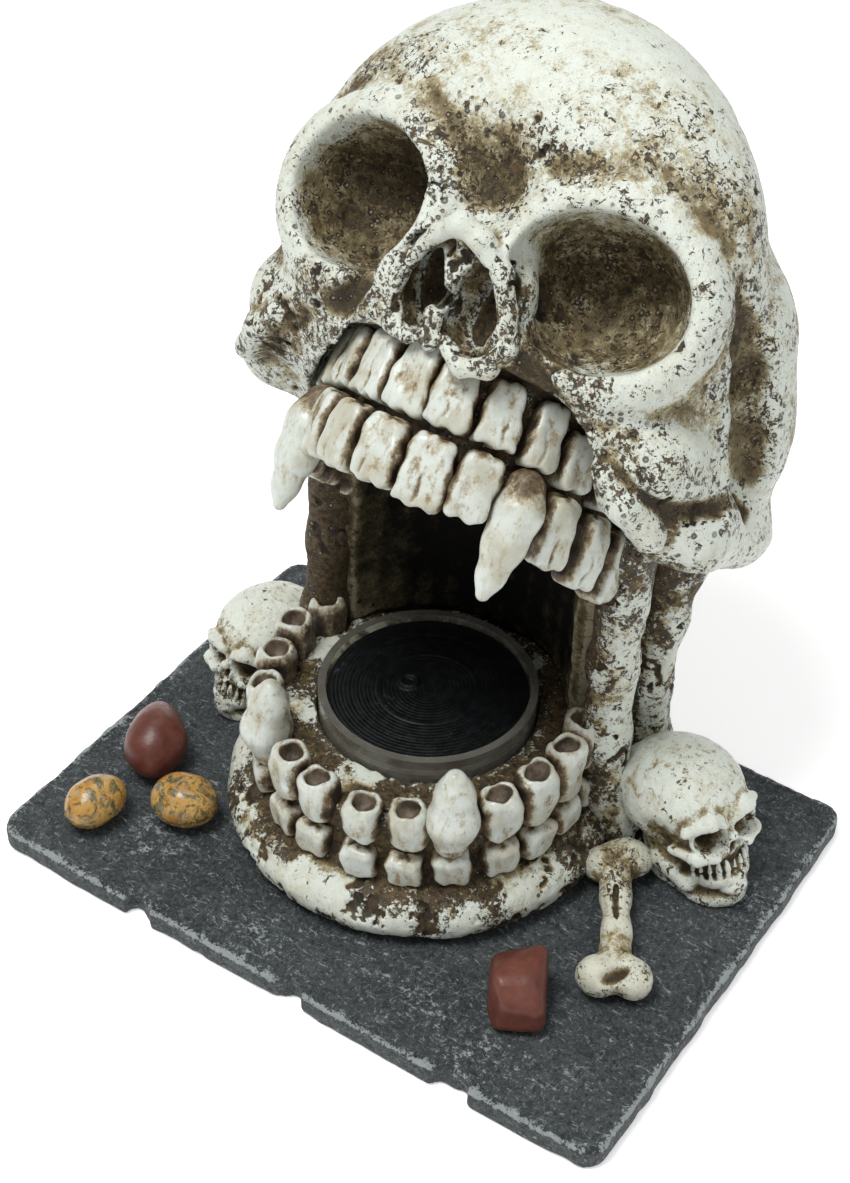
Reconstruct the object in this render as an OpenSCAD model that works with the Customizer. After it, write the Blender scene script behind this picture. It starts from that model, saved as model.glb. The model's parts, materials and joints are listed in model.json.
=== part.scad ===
// Bubbling skull ornament for a pond or an aquarium.
// A fanged skull with a wide open mouth stands on a notched slate slab.
// The mouth holds a lift-out air diffuser: a clear cup with a black rubber membrane.
// Millimetres, +Z up, face towards -Y, origin at the centre of the slab's underside.

/* [Slab] */
// Length of the slab along X
slab_w = 200; // [190:1:215]
// Depth of the slab along Y
slab_d = 146; // [140:1:160]
// Thickness of the slab
slab_t = 8; // [6:0.5:12]
// Radius of the slab's corners in plan
slab_corner = 7; // [4:0.5:12]
// Depth of the chipped notches in the front edge
notch_depth = 3.6; // [2:0.1:5]

/* [Skull] */
// X position of the skull's plane of symmetry
skull_x = -5; // [-8:0.5:0]
// How far the head leans back, in degrees
head_tilt = 38; // [36:1:40]
// Half width of the forehead's dome
dome_a = 66.5; // [64:0.5:68]
// Half height of the forehead's dome
dome_c = 60; // [57:0.5:61]
// Half width of the back of the head
back_a = 75; // [72:0.5:76]
// Half length of the back of the head
back_b = 43; // [40:0.5:44]
// Half width of an eye socket
socket_w = 21.5; // [19:0.5:22]
// Half height of an eye socket
socket_h = 18; // [16:0.5:19]
// Depth of an eye socket
socket_depth = 26; // [20:1:28]

/* [Lower jaw] */
// Largest radius of the lower jaw's swollen rim
jaw_r = 56.5; // [55:0.5:58]
// Height of the mouth floor above the slab
floor_h = 36; // [35:0.5:37]
// Radius of the ring of lower teeth
tooth_ring_r = 43.5; // [43:0.25:44]

/* [Air diffuser] */
// Outside radius of the clear cup
cup_r = 31; // [30:0.25:31]
// Height of the clear cup
cup_h = 14; // [12:0.5:14]
// Wall of the clear cup
cup_wall = 2.2; // [1.8:0.1:2.6]
// Clearance between the cup and its seat, on the radius
seat_gap = 0.35; // [0.3:0.05:0.5]
// Pitch of the ribs moulded in the membrane
rib_pitch = 2.5; // [2.2:0.1:3]

/* [Airline] */
// Outside radius of the nipple's barbs, for soft 4 mm airline
nipple_r = 2.4; // [2.3:0.05:2.6]
// Length of the nipple's barbed end
nipple_len = 11; // [9:0.5:12]
// Radius of the airline tunnel at the back
tunnel_r = 4.5; // [4:0.25:5]

/* [Hidden] */

bone = [0.86, 0.85, 0.78];
slate = [0.24, 0.27, 0.28];
cup_x = -6.5;
cup_y = 10;
cup_z = slab_t + 28;            // underside of the cup
well_r = 17;                    // radius of the air well under the cup
tunnel_z = slab_t + 8;          // height of the airline tunnel's axis
eps = 0.02;

// ---- helpers ----
// moves into the lower skull's frame: origin on the slab's top, on the plane of symmetry
module low() { translate([skull_x, 0, slab_t]) children(); }
// moves into the head's own frame: -Y out of the face, +Z towards the crown
module head() { translate([skull_x, 0, slab_t]) rotate([-head_tilt, 0, 0]) children(); }
module both() { children(); mirror([1, 0, 0]) children(); }
module ell(p, r, rot = [0, 0, 0], f = 48) { translate(p) rotate(rot) scale(r) sphere(r = 1, $fn = f); }
// a tapered post from a to b with rounded ends
module post(a, b, ra, rb, f = 28) {
    hull() {
        translate(a) sphere(r = ra, $fn = f);
        translate(b) sphere(r = rb, $fn = f);
    }
}
// a tooth standing on a ring: root at height z0, top at height z1
module peg(r_ring, ang, z0, z1, w, d, cup) {
    rotate([0, 0, ang]) translate([r_ring, 0, z0])
        difference() {
            scale([d, w, 1]) cylinder(r1 = 0.40, r2 = 0.5, h = z1 - z0, $fn = 32);
            if (cup > 0)
                translate([0, 0, z1 - z0 - cup]) scale([d * 0.62, w * 0.62, 1]) cylinder(r1 = 0.38, r2 = 0.5, h = cup + 1, $fn = 32);
        }
}

// ---- slab ----
module slab_outline() {
    x = slab_w / 2 - slab_corner;
    y = slab_d / 2 - slab_corner;
    square([slab_w, 2 * y], center = true);
    square([2 * x, slab_d], center = true);
    for (sx = [-1, 1], sy = [-1, 1]) translate([sx * x, sy * y]) circle(r = slab_corner, $fn = 48);
}
module base_slab() color(slate)
    difference() {
        linear_extrude(slab_t) slab_outline();
        // three chipped notches in the front edge
        for (n = [[-48.5, 4.6], [4, 5.2], [56, 6.2]])
            translate([n[0], -slab_d / 2 - n[1] + notch_depth, -1]) cylinder(r = n[1], h = slab_t + 2, $fn = 48);
    }

// ---- lower jaw ----
module lower_jaw() color(bone)
    difference() {
        low() translate([0, 6, 0]) rotate_extrude($fn = 96)
            polygon([[0, 0], [jaw_r - 5, 0], [jaw_r - 1.5, 2.5], [jaw_r, 6], [jaw_r - 1, 10.5], [jaw_r - 4.5, 14],
                     [tooth_ring_r + 3.5, 16.5], [tooth_ring_r + 1.5, 20], [tooth_ring_r + 1, 33], [tooth_ring_r - 3, floor_h], [0, floor_h]]);
        // seat of the diffuser cup
        translate([cup_x, cup_y, cup_z]) cylinder(r = cup_r + seat_gap, h = 40, $fn = 96);
        // air well under the cup
        translate([cup_x, cup_y, slab_t + 3]) cylinder(r = well_r, h = 40, $fn = 64);
        // airline tunnel from the well to the back
        translate([cup_x, cup_y, tunnel_z]) rotate([-90, 0, 0]) cylinder(r = tunnel_r, h = 80, $fn = 48);
    }

// hollow-topped lower crowns: four incisors and four molars each side
crown_a = [[-112, 8], [-97, 8], [-79, 8], [-63, 8],
           [-30, 8.2], [-15, 8.4], [0, 8.4], [16, 8], [-150, 8.2], [-165, 8.4], [180, 8.4], [164, 8]];
module lower_crowns() color(bone)
    low() translate([0, 7, 0])
        for (c = crown_a) peg(tooth_ring_r + 1, c[0], 27, 43 + 4 * abs(cos(c[0])), c[1] * 1.36, 9.5, 4);

// the second tier of stubby roots below the crowns
module lower_roots() color(bone)
    low() translate([0, 7, 0])
        for (c = concat(crown_a, [[-47, 8], [-133, 8]]))
            peg(tooth_ring_r + 2.5, c[0], 15.5, 26.5, c[1] * 1.28, 9, 0);

module lower_fangs() color(bone)
    low() intersection() {
        both() ell([30.5, -25.7, 36.5], [6.4, 5.6, 18.5], f = 36);
        translate([-60, -60, 27]) cube([120, 60, 40]);
    }

// ---- neck ----
module throat_wall() color([0.35, 0.28, 0.2])
    difference() {
        intersection() {
            low() translate([0, 10, floor_h + eps]) cylinder(r1 = 47, r2 = 49, h = 80, $fn = 96);
            // under the head
            head() translate([0, 0, -98]) cube([300, 300, 392.5], center = true);
        }
        // the mouth cavity, open at the front
        low() translate([-1.5, 10, 0]) cylinder(r = 38.5, h = 150, $fn = 96);
        low() translate([-100, -100, 0]) cube([200, 118, 200]);
    }
module front_strut(s) color(bone)
    low() intersection() {
        scale([s, 1, 1]) post([46.5, 25, 36], [47, 30, 108], 8, 8, 32);
        translate([-100, -100, floor_h - 10]) cube([200, 200, 72 + 10]);
    }
module front_strut_left() { front_strut(-1); }
module front_strut_right() { front_strut(1); }
module rear_pillar(s) color(bone)
    low() intersection() {
        scale([s, 1, 1]) union() {
            post([53, 47, 4], [50, 45, 40], 10, 7.5, 28);
            post([50, 45, 40], [51, 49, 92], 7.5, 9.5, 28);
        }
        translate([-100, -100, 0]) cube([200, 200, 84]);
    }
module rear_pillar_left() { rear_pillar(-1); }
module rear_pillar_right() { rear_pillar(1); }

// ---- head ----
module cranium() color(bone)
    head() difference() {
        intersection() {
            union() {
                ell([0, -66, 161], [dome_a, 36, dome_c], f = 64);
                ell([0, -38, 133], [back_a, back_b, 52], f = 64);
                ell([0, -60, 138], [60, 33, 44], f = 48);
                // brow ridge over each socket
                both() ell([34, -85, 158], [27, 12, 23.5], f = 40);
            }
            translate([-150, -200, 98]) cube([300, 300, 200]);
        }
        // eye sockets
        both() ell([33.9, -92, 157], [socket_w, socket_depth, socket_h], f = 40);
        // nose cavity
        both() ell([7, -92, 143], [9.5, 16, 12.5], [0, 14, 0], f = 32);
        // seat of the upper jaw
        upper_arch();
    }
module cheekbones() color(bone)
    head() both() {
        post([40, -78, 128], [57, -66, 112], 11, 12, 28);
        post([57, -66, 112], [66, -26, 113], 12, 11, 28);
    }
module nose_rim() color(bone)
    // two leaning oval rings meet in the septum: the heart-shaped rim
    head() translate([0, -88, 142]) rotate([90, 0, 0]) linear_extrude(11) difference() {
        both() translate([7.8, 0]) rotate(14) scale([11, 15.5]) circle(r = 1, $fn = 48);
        both() translate([8.4, 0]) rotate(14) scale([7, 11]) circle(r = 1, $fn = 48);
    }
// arch of the upper jaw: a horseshoe open towards the throat
module upper_arch()
    difference() {
        translate([0, -40, 97]) linear_extrude(30) scale([1, 1.25]) circle(r = 40, $fn = 72);
        translate([-60, -16, 90]) cube([120, 80, 60]);
    }
module upper_jaw() color(bone)
    head() difference() {
        upper_arch();
        // the palate, open towards the throat
        translate([0, -36, 96]) linear_extrude(12) scale([1, 1.25]) circle(r = 32, $fn = 72);
    }
// a tooth hanging from the upper arch: t is the angle round the arch, 0 at the front
function arch_p(t, k) = [k * sin(t), -40 - 1.25 * k * cos(t)];
module hung(t, k, v0, v1, w) {
    p = arch_p(t, k);
    a = atan2(1.25 * sin(t), cos(t));
    translate([p[0], p[1], v0]) rotate([0, 0, a])
        scale([w, 8.5, 1]) cylinder(r1 = 0.5, r2 = 0.42, h = v1 - v0, $fn = 28);
}
// angle and width of each pair of stacked teeth, left to right between and behind the fangs
up_t = [-34, -18, -2, 14, 29, -59, 59, -73, 73, -87, 87, -101, 101];
up_w = [9, 10.5, 11.5, 11.5, 10.5, 9.5, 9.5, 9, 9, 8.5, 8.5, 8, 8];
// the rows drop towards the back of the arch
function drop(t) = max(0, abs(t) - 35) * 0.16;
module upper_teeth_top_row() color(bone)
    head() for (i = [0 : len(up_t) - 1])
        hung(up_t[i], 42.5, 111 - drop(up_t[i]), 126 - 1.6 * drop(up_t[i]), up_w[i]);
module upper_teeth_bottom_row() color(bone)
    head() for (i = [0 : len(up_t) - 1])
        hung(up_t[i], 43.5, 92 - drop(up_t[i]), 110 - drop(up_t[i]), up_w[i] * 1.04);
module upper_fangs() color(bone)
    head() intersection() {
        both() ell([30.5, -78, 110], [6.2, 5.4, 36], f = 36);
        translate([-60, -120, 60]) cube([120, 100, 50 + 16]);
    }

// ---- things on the slab ----
module small_skull(h) {
    difference() {
        union() {
            ell([0, 4, h * 0.64], [h * 0.46, h * 0.56, h * 0.40], f = 36);
            ell([0, -h * 0.26, h * 0.34], [h * 0.30, h * 0.26, h * 0.34], f = 32);
            translate([0, h * 0.05, 0]) scale([h * 0.32, h * 0.40, h * 0.5]) cylinder(r = 1, h = 1, $fn = 32);
        }
        both() ell([h * 0.17, -h * 0.50, h * 0.52], [h * 0.12, h * 0.16, h * 0.11], f = 24);
        ell([0, -h * 0.52, h * 0.36], [h * 0.06, h * 0.1, h * 0.08], f = 20);
        translate([-100, -100, -200]) cube([200, 200, 200]);
    }
}
module side_skull_left() color(bone)
    translate([-71, 15, slab_t]) rotate([0, 0, -8]) small_skull(35);
module side_skull_right() color(bone)
    translate([73, 28, slab_t]) rotate([0, 0, 78]) small_skull(40);
module thigh_bone() color(bone)
    intersection() {
        translate([0, 0, slab_t]) union() {
            post([57, 10, 7], [75, -21, 5], 4.6, 4, 28);
            translate([73, -26, 5]) sphere(r = 6, $fn = 32);
            translate([80.5, -22, 5]) sphere(r = 5.6, $fn = 32);
            translate([58, 13, 7]) sphere(r = 6, $fn = 32);
        }
        translate([-150, -150, slab_t]) cube(300);
    }
module pebble(p, r, rz) {
    intersection() {
        translate([p[0], p[1], slab_t + r[2] * 0.88]) rotate([0, 0, rz]) scale(r) sphere(r = 1, $fn = 40);
        translate([-150, -150, slab_t]) cube(300);
    }
}
module brown_pebble() color([0.42, 0.2, 0.16]) pebble([-78, -25], [14, 9.5, 10], 105);
module ochre_pebble_left() color([0.72, 0.52, 0.2]) pebble([-78, -54], [10.5, 8.2, 7.5], 80);
module ochre_pebble_right() color([0.72, 0.52, 0.2]) pebble([-56.5, -39.5], [10.5, 9, 8.5], 20);
module brown_block_stone() color([0.42, 0.2, 0.16])
    translate([57, -41.5, slab_t]) rotate([0, 0, -62])
        hull() {
            translate([0, 0, 2.5]) scale([12, 8.5, 2.5]) sphere(r = 1, $fn = 24);
            translate([-2.5, 0, 12]) scale([8.5, 7.5, 3.5]) sphere(r = 1, $fn = 24);
            translate([8, 0, 8]) scale([3.5, 6.5, 3.5]) sphere(r = 1, $fn = 20);
        }

// ---- air diffuser: cup, plate, membrane, clamp and nipple, all about one vertical axis ----
module at_cup() { translate([cup_x, cup_y, cup_z]) children(); }
module diffuser_cup() color([0.8, 0.84, 0.84, 0.5])
    at_cup() difference() {
        rotate_extrude($fn = 96)
            polygon([[0, 0], [cup_r, 0], [cup_r, cup_h], [cup_r - cup_wall, cup_h], [cup_r - cup_wall, 2.5], [0, 2.5]]);
        translate([0, 0, -1]) cylinder(r = 3.2, h = 6, $fn = 48);
    }
module support_plate() color([0.75, 0.76, 0.75])
    at_cup() difference() {
        translate([0, 0, 2.5 + 5]) cylinder(r = cup_r - cup_wall - 0.2, h = 2, $fn = 96);
        // air holes, one ring of six
        for (i = [0 : 5]) rotate([0, 0, 60 * i]) translate([15, 0, 0]) cylinder(r = 1.5, h = 20, $fn = 24);
    }
module diffuser_membrane() color([0.06, 0.06, 0.065])
    at_cup() translate([0, 0, 9.5]) {
        rotate_extrude($fn = 96)
            polygon(concat([[0, 0], [cup_r - cup_wall - 0.25, 0], [cup_r - cup_wall - 0.25, 2.2]],
                [for (i = [10 : -1 : 1], j = [0, 1, 2, 3])
                    [i * rib_pitch + [1.15, 0.85, 0.2, -0.15][j], [2.2, 2.9, 2.9, 2.2][j]]],
                [[0, 2.2]]));
        // moulded blind nub beside the centre
        translate([-5.6, -1.3, 2.2]) difference() {
            cylinder(r = 3.1, h = 1.3, $fn = 48);
            translate([0, 0, 0.5]) cylinder(r = 1.7, h = 3, $fn = 36);
        }
    }
module membrane_clamp() color([0.8, 0.84, 0.84, 0.5])
    at_cup() translate([0, 0, 2.5]) difference() {
        cylinder(r = cup_r - cup_wall - 0.15, h = 5, $fn = 96);
        translate([0, 0, -1]) cylinder(r = cup_r - cup_wall - 2.6, h = 8, $fn = 96);
    }
module air_nipple() color([0.8, 0.84, 0.84, 0.5])
    at_cup() difference() {
        rotate_extrude($fn = 64)
            polygon([[0, -nipple_len - 3], [nipple_r - 0.55, -nipple_len - 3], [nipple_r - 0.3, -nipple_len - 2.6],
                     [nipple_r, -nipple_len + 0.5], [nipple_r, -3], [nipple_r, -2.2], [5.2, -2.2], [5.2, -eps],
                     [3.15, -eps], [3.15, 4.6], [0, 4.6]]);
        translate([0, 0, -nipple_len - 5]) cylinder(r = 1.25, h = 40, $fn = 36);
    }

base_slab();
lower_jaw();
lower_crowns();
lower_roots();
lower_fangs();
throat_wall();
front_strut_left();
front_strut_right();
rear_pillar_left();
rear_pillar_right();
cranium();
cheekbones();
nose_rim();
upper_jaw();
upper_teeth_top_row();
upper_teeth_bottom_row();
upper_fangs();
side_skull_left();
side_skull_right();
thigh_bone();
brown_pebble();
ochre_pebble_left();
ochre_pebble_right();
brown_block_stone();
diffuser_cup();
diffuser_membrane();
membrane_clamp();
support_plate();
air_nipple();
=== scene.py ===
import json
import math
import bpy
import numpy as np
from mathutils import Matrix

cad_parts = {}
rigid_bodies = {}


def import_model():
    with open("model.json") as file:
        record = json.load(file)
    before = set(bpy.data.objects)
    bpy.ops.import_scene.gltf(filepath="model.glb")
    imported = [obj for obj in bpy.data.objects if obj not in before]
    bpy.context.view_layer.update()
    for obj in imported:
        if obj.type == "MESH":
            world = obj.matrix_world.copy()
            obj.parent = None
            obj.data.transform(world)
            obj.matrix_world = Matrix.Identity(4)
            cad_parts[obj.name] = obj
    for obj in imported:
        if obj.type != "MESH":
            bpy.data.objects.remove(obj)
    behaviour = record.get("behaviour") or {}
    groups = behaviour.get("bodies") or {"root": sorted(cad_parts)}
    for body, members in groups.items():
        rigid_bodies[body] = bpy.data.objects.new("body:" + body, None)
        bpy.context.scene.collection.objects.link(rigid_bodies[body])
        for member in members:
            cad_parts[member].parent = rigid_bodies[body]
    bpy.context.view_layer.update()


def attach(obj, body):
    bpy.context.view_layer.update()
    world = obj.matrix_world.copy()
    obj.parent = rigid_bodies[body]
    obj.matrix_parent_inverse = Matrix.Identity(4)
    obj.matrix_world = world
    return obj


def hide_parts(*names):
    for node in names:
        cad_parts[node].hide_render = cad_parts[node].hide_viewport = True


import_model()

import openvdb
from mathutils import Vector

F = np.float32
XC, SLAB = -5.0, 8.0            # plane of symmetry of the skull, thickness of the slab (mm)
TILT = math.radians(38.0)
CT, ST = math.cos(TILT), math.sin(TILT)


# ------------------------------------------------------------------ fields
class Field:
    """A box of signed distances in mm. Pieces are carved in it and turned into a mesh."""

    def __init__(s, lo, hi, h, fill=60.0):
        s.lo = np.array(lo, float)
        s.h = h
        s.n = (np.ceil((np.array(hi, float) - s.lo) / h).astype(int) + 1)
        s.ax = [(s.lo[i] + h * np.arange(s.n[i])).astype(F) for i in range(3)]
        s.D = np.full(s.n, fill, F)

    def win(s, c, r):
        """slices and coordinates of the part of the box within r of c"""
        c = np.asarray(c, float)
        r = np.broadcast_to(np.asarray(r, float), (3,))
        i0 = np.clip(np.floor((c - r - s.lo) / s.h).astype(int), 0, s.n)
        i1 = np.clip(np.ceil((c + r - s.lo) / s.h).astype(int) + 1, 0, s.n)
        sl = tuple(slice(i0[k], i1[k]) for k in range(3))
        X = s.ax[0][sl[0]][:, None, None]
        Y = s.ax[1][sl[1]][None, :, None]
        Z = s.ax[2][sl[2]][None, None, :]
        return sl, X, Y, Z

    def all(s):
        return s.win(s.lo + s.n * s.h / 2, s.n * s.h)

    def add(s, prim, k=0.0):
        c, r, f = prim
        sl, X, Y, Z = s.win(c, np.asarray(r) + k + 3 * s.h + 1)
        if s.D[sl].size:
            s.D[sl] = smin(s.D[sl], f(X, Y, Z), k)

    def cut(s, prim, k=0.0):
        c, r, f = prim
        sl, X, Y, Z = s.win(c, np.asarray(r) + k + 3 * s.h + 1)
        if s.D[sl].size:
            s.D[sl] = smax(s.D[sl], -f(X, Y, Z), k)

    def keep(s, f, k=0.0):
        sl, X, Y, Z = s.all()
        s.D = smax(s.D, f(X, Y, Z) + np.zeros(s.n, F), k)

    def sample(s, A, P):
        """trilinear reading of array A at points P"""
        q = (P - s.lo) / s.h
        q = np.clip(q, 0, np.array(s.n) - 1.001)
        i = q.astype(int)
        f = (q - i).astype(F)
        x, y, z = i.T
        fx, fy, fz = f.T
        o = 0
        for a in (0, 1):
            for b in (0, 1):
                for c in (0, 1):
                    w = (fx if a else 1 - fx) * (fy if b else 1 - fy) * (fz if c else 1 - fz)
                    o = o + w * A[x + a, y + b, z + c]
        return o

    def blurred(s, mm):
        """box blur, twice, of about that radius"""
        A = np.clip(s.D, -3 * mm, 3 * mm)
        r = max(1, int(round(mm / s.h)))
        for _ in range(2):
            for ax in range(3):
                pad = [(0, 0)] * 3
                pad[ax] = (r + 1, r)
                B = np.cumsum(np.pad(A, pad, mode="edge"), axis=ax, dtype=np.float64)
                hi = [slice(None)] * 3
                lo = [slice(None)] * 3
                hi[ax] = slice(2 * r + 1, None)
                lo[ax] = slice(0, -(2 * r + 1))
                A = ((B[tuple(hi)] - B[tuple(lo)]) / (2 * r + 1)).astype(F)
        return A

    def quads(s):
        b = 3.0 * s.h
        g = openvdb.FloatGrid(b)
        A = np.clip(s.D, -b, b)
        # a shell of outside round the box, so that every mesh closes
        A = np.pad(A, 1, constant_values=b)
        g.copyFromArray(A)
        p, q = g.convertToQuads(0.0)
        return (p - 1) * s.h + s.lo, np.asarray(q, int)


def smin(a, b, k):
    if k <= 0:
        return np.minimum(a, b)
    h = np.clip(0.5 + 0.5 * (b - a) / k, 0, 1)
    return (b + (a - b) * h - k * h * (1 - h)).astype(F)


def smax(a, b, k):
    return -smin(-a, -b, k)


def rot(rx=0, ry=0, rz=0):
    rx, ry, rz = (math.radians(a) for a in (rx, ry, rz))
    cx, sx, cy, sy, cz, sz = math.cos(rx), math.sin(rx), math.cos(ry), math.sin(ry), math.cos(rz), math.sin(rz)
    A = np.array([[1, 0, 0], [0, cx, -sx], [0, sx, cx]])
    B = np.array([[cy, 0, sy], [0, 1, 0], [-sy, 0, cy]])
    C = np.array([[cz, -sz, 0], [sz, cz, 0], [0, 0, 1]])
    return C @ B @ A


def local(X, Y, Z, c, R):
    x, y, z = X - F(c[0]), Y - F(c[1]), Z - F(c[2])
    if R is None:
        return x, y, z
    R = R.astype(F)
    return (x * R[0, 0] + y * R[1, 0] + z * R[2, 0],
            x * R[0, 1] + y * R[1, 1] + z * R[2, 1],
            x * R[0, 2] + y * R[1, 2] + z * R[2, 2])


def ell(c, r, R=None):
    r = [F(v) for v in r]

    def f(X, Y, Z):
        x, y, z = local(X, Y, Z, c, R)
        k0 = np.sqrt((x / r[0]) ** 2 + (y / r[1]) ** 2 + (z / r[2]) ** 2) + F(1e-6)
        k1 = np.sqrt((x / r[0] ** 2) ** 2 + (y / r[1] ** 2) ** 2 + (z / r[2] ** 2) ** 2) + F(1e-6)
        return k0 * (k0 - 1) / k1
    return c, max(r), f


def cap(a, b, ra, rb=None, flat=None):
    """capsule from a to b; flat squeezes the distance along an axis"""
    a, b = np.asarray(a, float), np.asarray(b, float)
    rb = ra if rb is None else rb
    d = b - a
    L2 = float(d @ d) + 1e-9

    def f(X, Y, Z):
        x, y, z = X - F(a[0]), Y - F(a[1]), Z - F(a[2])
        t = np.clip((x * F(d[0]) + y * F(d[1]) + z * F(d[2])) / F(L2), 0, 1)
        ex, ey, ez = x - t * F(d[0]), y - t * F(d[1]), z - t * F(d[2])
        if flat is not None:
            ex, ey, ez = ex / F(flat[0]), ey / F(flat[1]), ez / F(flat[2])
        m = min(flat) if flat is not None else 1
        return (np.sqrt(ex * ex + ey * ey + ez * ez) - (F(ra) + F(rb - ra) * t)) * F(m)
    m = max(flat) if flat is not None else 1
    return (a + b) / 2, np.abs(d) / 2 + max(ra, rb) * m, f


def chain(pts, k=2.0):
    """smooth tube through (x, y, z, r) points"""
    prims = [cap(p[:3], q[:3], p[3], q[3]) for p, q in zip(pts, pts[1:])]
    P = np.array(pts, float)
    lo, hi = (P[:, :3] - P[:, 3:4]).min(0), (P[:, :3] + P[:, 3:4]).max(0)

    def f(X, Y, Z):
        o = prims[0][2](X, Y, Z)
        for pr in prims[1:]:
            o = smin(o, pr[2](X, Y, Z), k)
        return o
    return (lo + hi) / 2, (hi - lo) / 2, f


def ring(c, a, b, t, R=None, ty=None):
    """oval tube in the local XZ plane, half axes a and b, tube t (ty along the local Y)"""
    ty = t if ty is None else ty

    def f(X, Y, Z):
        x, y, z = local(X, Y, Z, c, R)
        ln = np.sqrt((x / F(a)) ** 2 + (z / F(b)) ** 2) + F(1e-6)
        g = np.sqrt((x / F(a * a)) ** 2 + (z / F(b * b)) ** 2) + F(1e-6)
        q = ln * (ln - 1) / g
        return (np.sqrt((q / F(t)) ** 2 + (y / F(ty)) ** 2) - 1) * F(min(t, ty))
    return c, max(a, b) + max(t, ty), f


# ------------------------------------------------------------------ noise
def hash3(i, seed):
    i = i.astype(np.int64)
    n = (i[..., 0] * 374761393 + i[..., 1] * 668265263 + i[..., 2] * 2147483647 + seed * 1274126177) & 0x7FFFFFFF
    n = ((n ^ (n >> 13)) * 1274126177) & 0x7FFFFFFF
    n = ((n ^ (n >> 16)) * 668265263) & 0x7FFFFFFF
    return ((n ^ (n >> 15)) & 0xFFFF).astype(F) / F(65535)


def noise(P, size, seed=0):
    """value noise in -1..1, one lump per size mm"""
    q = P / size
    i = np.floor(q)
    f = (q - i).astype(F)
    f = f * f * (3 - 2 * f)
    o = 0
    for a in (0, 1):
        for b in (0, 1):
            for c in (0, 1):
                w = (f[..., 0] if a else 1 - f[..., 0]) * (f[..., 1] if b else 1 - f[..., 1]) * (f[..., 2] if c else 1 - f[..., 2])
                o = o + w * hash3(i + [a, b, c], seed)
    return o * 2 - 1


def fbm(P, size, octaves=3, seed=0, gain=0.5):
    o, w, t = 0, 1.0, 0.0
    for k in range(octaves):
        o = o + w * noise(P + 17.3 * k, size / 2 ** k, seed + 11 * k)
        t += w
        w *= gain
    return o / t


# ------------------------------------------------------------------ meshes
def head_to_world(P):
    x, y, z = P.T
    return np.stack([x + XC, y * CT + z * ST, -y * ST + z * CT + SLAB], 1)


def low_to_world(P):
    return P + np.array([XC, 0, SLAB])


def mesh_normals(V, Q):
    a, b, c, d = (V[Q[:, k]] for k in range(4))
    n = np.cross(c - a, d - b)
    N = np.zeros_like(V)
    for k in range(4):
        for ax in range(3):
            N[:, ax] += np.bincount(Q[:, k], n[:, ax], len(V))
    return N / (np.linalg.norm(N, axis=1, keepdims=True) + 1e-12)


def drop_loose(V, Q, least=400):
    """keeps only the connected shells of at least that many vertices"""
    lab = np.arange(len(V))
    for _ in range(2000):
        m = lab[Q].min(1)
        new = lab.copy()
        for k in range(4):
            np.minimum.at(new, Q[:, k], m)
        new = new[new]
        if (new == lab).all():
            break
        lab = new
    cnt = np.bincount(lab, minlength=len(V))
    good = cnt[lab] >= least
    Q = Q[good[Q].all(1)]
    idx = np.cumsum(good) - 1
    return V[good], idx[Q]


class Piece:
    """vertices in mm, quads, and named values per vertex"""

    def __init__(s, V, Q, **att):
        s.V, s.Q, s.att = V, Q, att

    @staticmethod
    def join(parts):
        V, Q, n = [], [], 0
        keys = set(k for p in parts for k in p.att)
        att = {k: [] for k in keys}
        for p in parts:
            V.append(p.V)
            Q.append(p.Q + n)
            n += len(p.V)
            for k in keys:
                att[k].append(p.att.get(k, np.zeros(len(p.V), F)))
        return Piece(np.concatenate(V), np.concatenate(Q), **{k: np.concatenate(v) for k, v in att.items()})


def carve(field, cav=(1.2, 4.0), least=400):
    """mesh of a field, with how hollow the surface is at two sizes"""
    V, Q = field.quads()
    if least:
        V, Q = drop_loose(V, Q, least)
    N = mesh_normals(V, Q)
    # winding outwards
    g = field.sample(field.D, V + N * field.h * 0.8) - field.sample(field.D, V - N * field.h * 0.8)
    if np.mean(g) < 0:
        Q = Q[:, ::-1]
    a = {}
    for name, mm in zip(("fine", "broad"), cav):
        a[name] = (-field.sample(field.blurred(mm), V) / mm).astype(F)
    return Piece(V, Q, **a)


def relax(p, n=1, w=0.5):
    """light smoothing along the quads' edges"""
    E = np.concatenate([p.Q[:, [0, 1]], p.Q[:, [1, 2]], p.Q[:, [2, 3]], p.Q[:, [3, 0]]])
    i = np.concatenate([E[:, 0], E[:, 1]])
    j = np.concatenate([E[:, 1], E[:, 0]])
    cnt = np.bincount(i, minlength=len(p.V))[:, None]
    for _ in range(n):
        M = np.stack([np.bincount(i, p.V[j, k], len(p.V)) for k in range(3)], 1) / np.maximum(cnt, 1)
        p.V = p.V + (M - p.V) * w
    return p


def scatter(V, N, count, rng, weight=None):
    """pit centres picked on the surface, more where weight is high"""
    w = np.ones(len(V)) if weight is None else np.maximum(weight, 0) + 1e-9
    return V[rng.choice(len(V), count, p=w / w.sum())]


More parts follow.
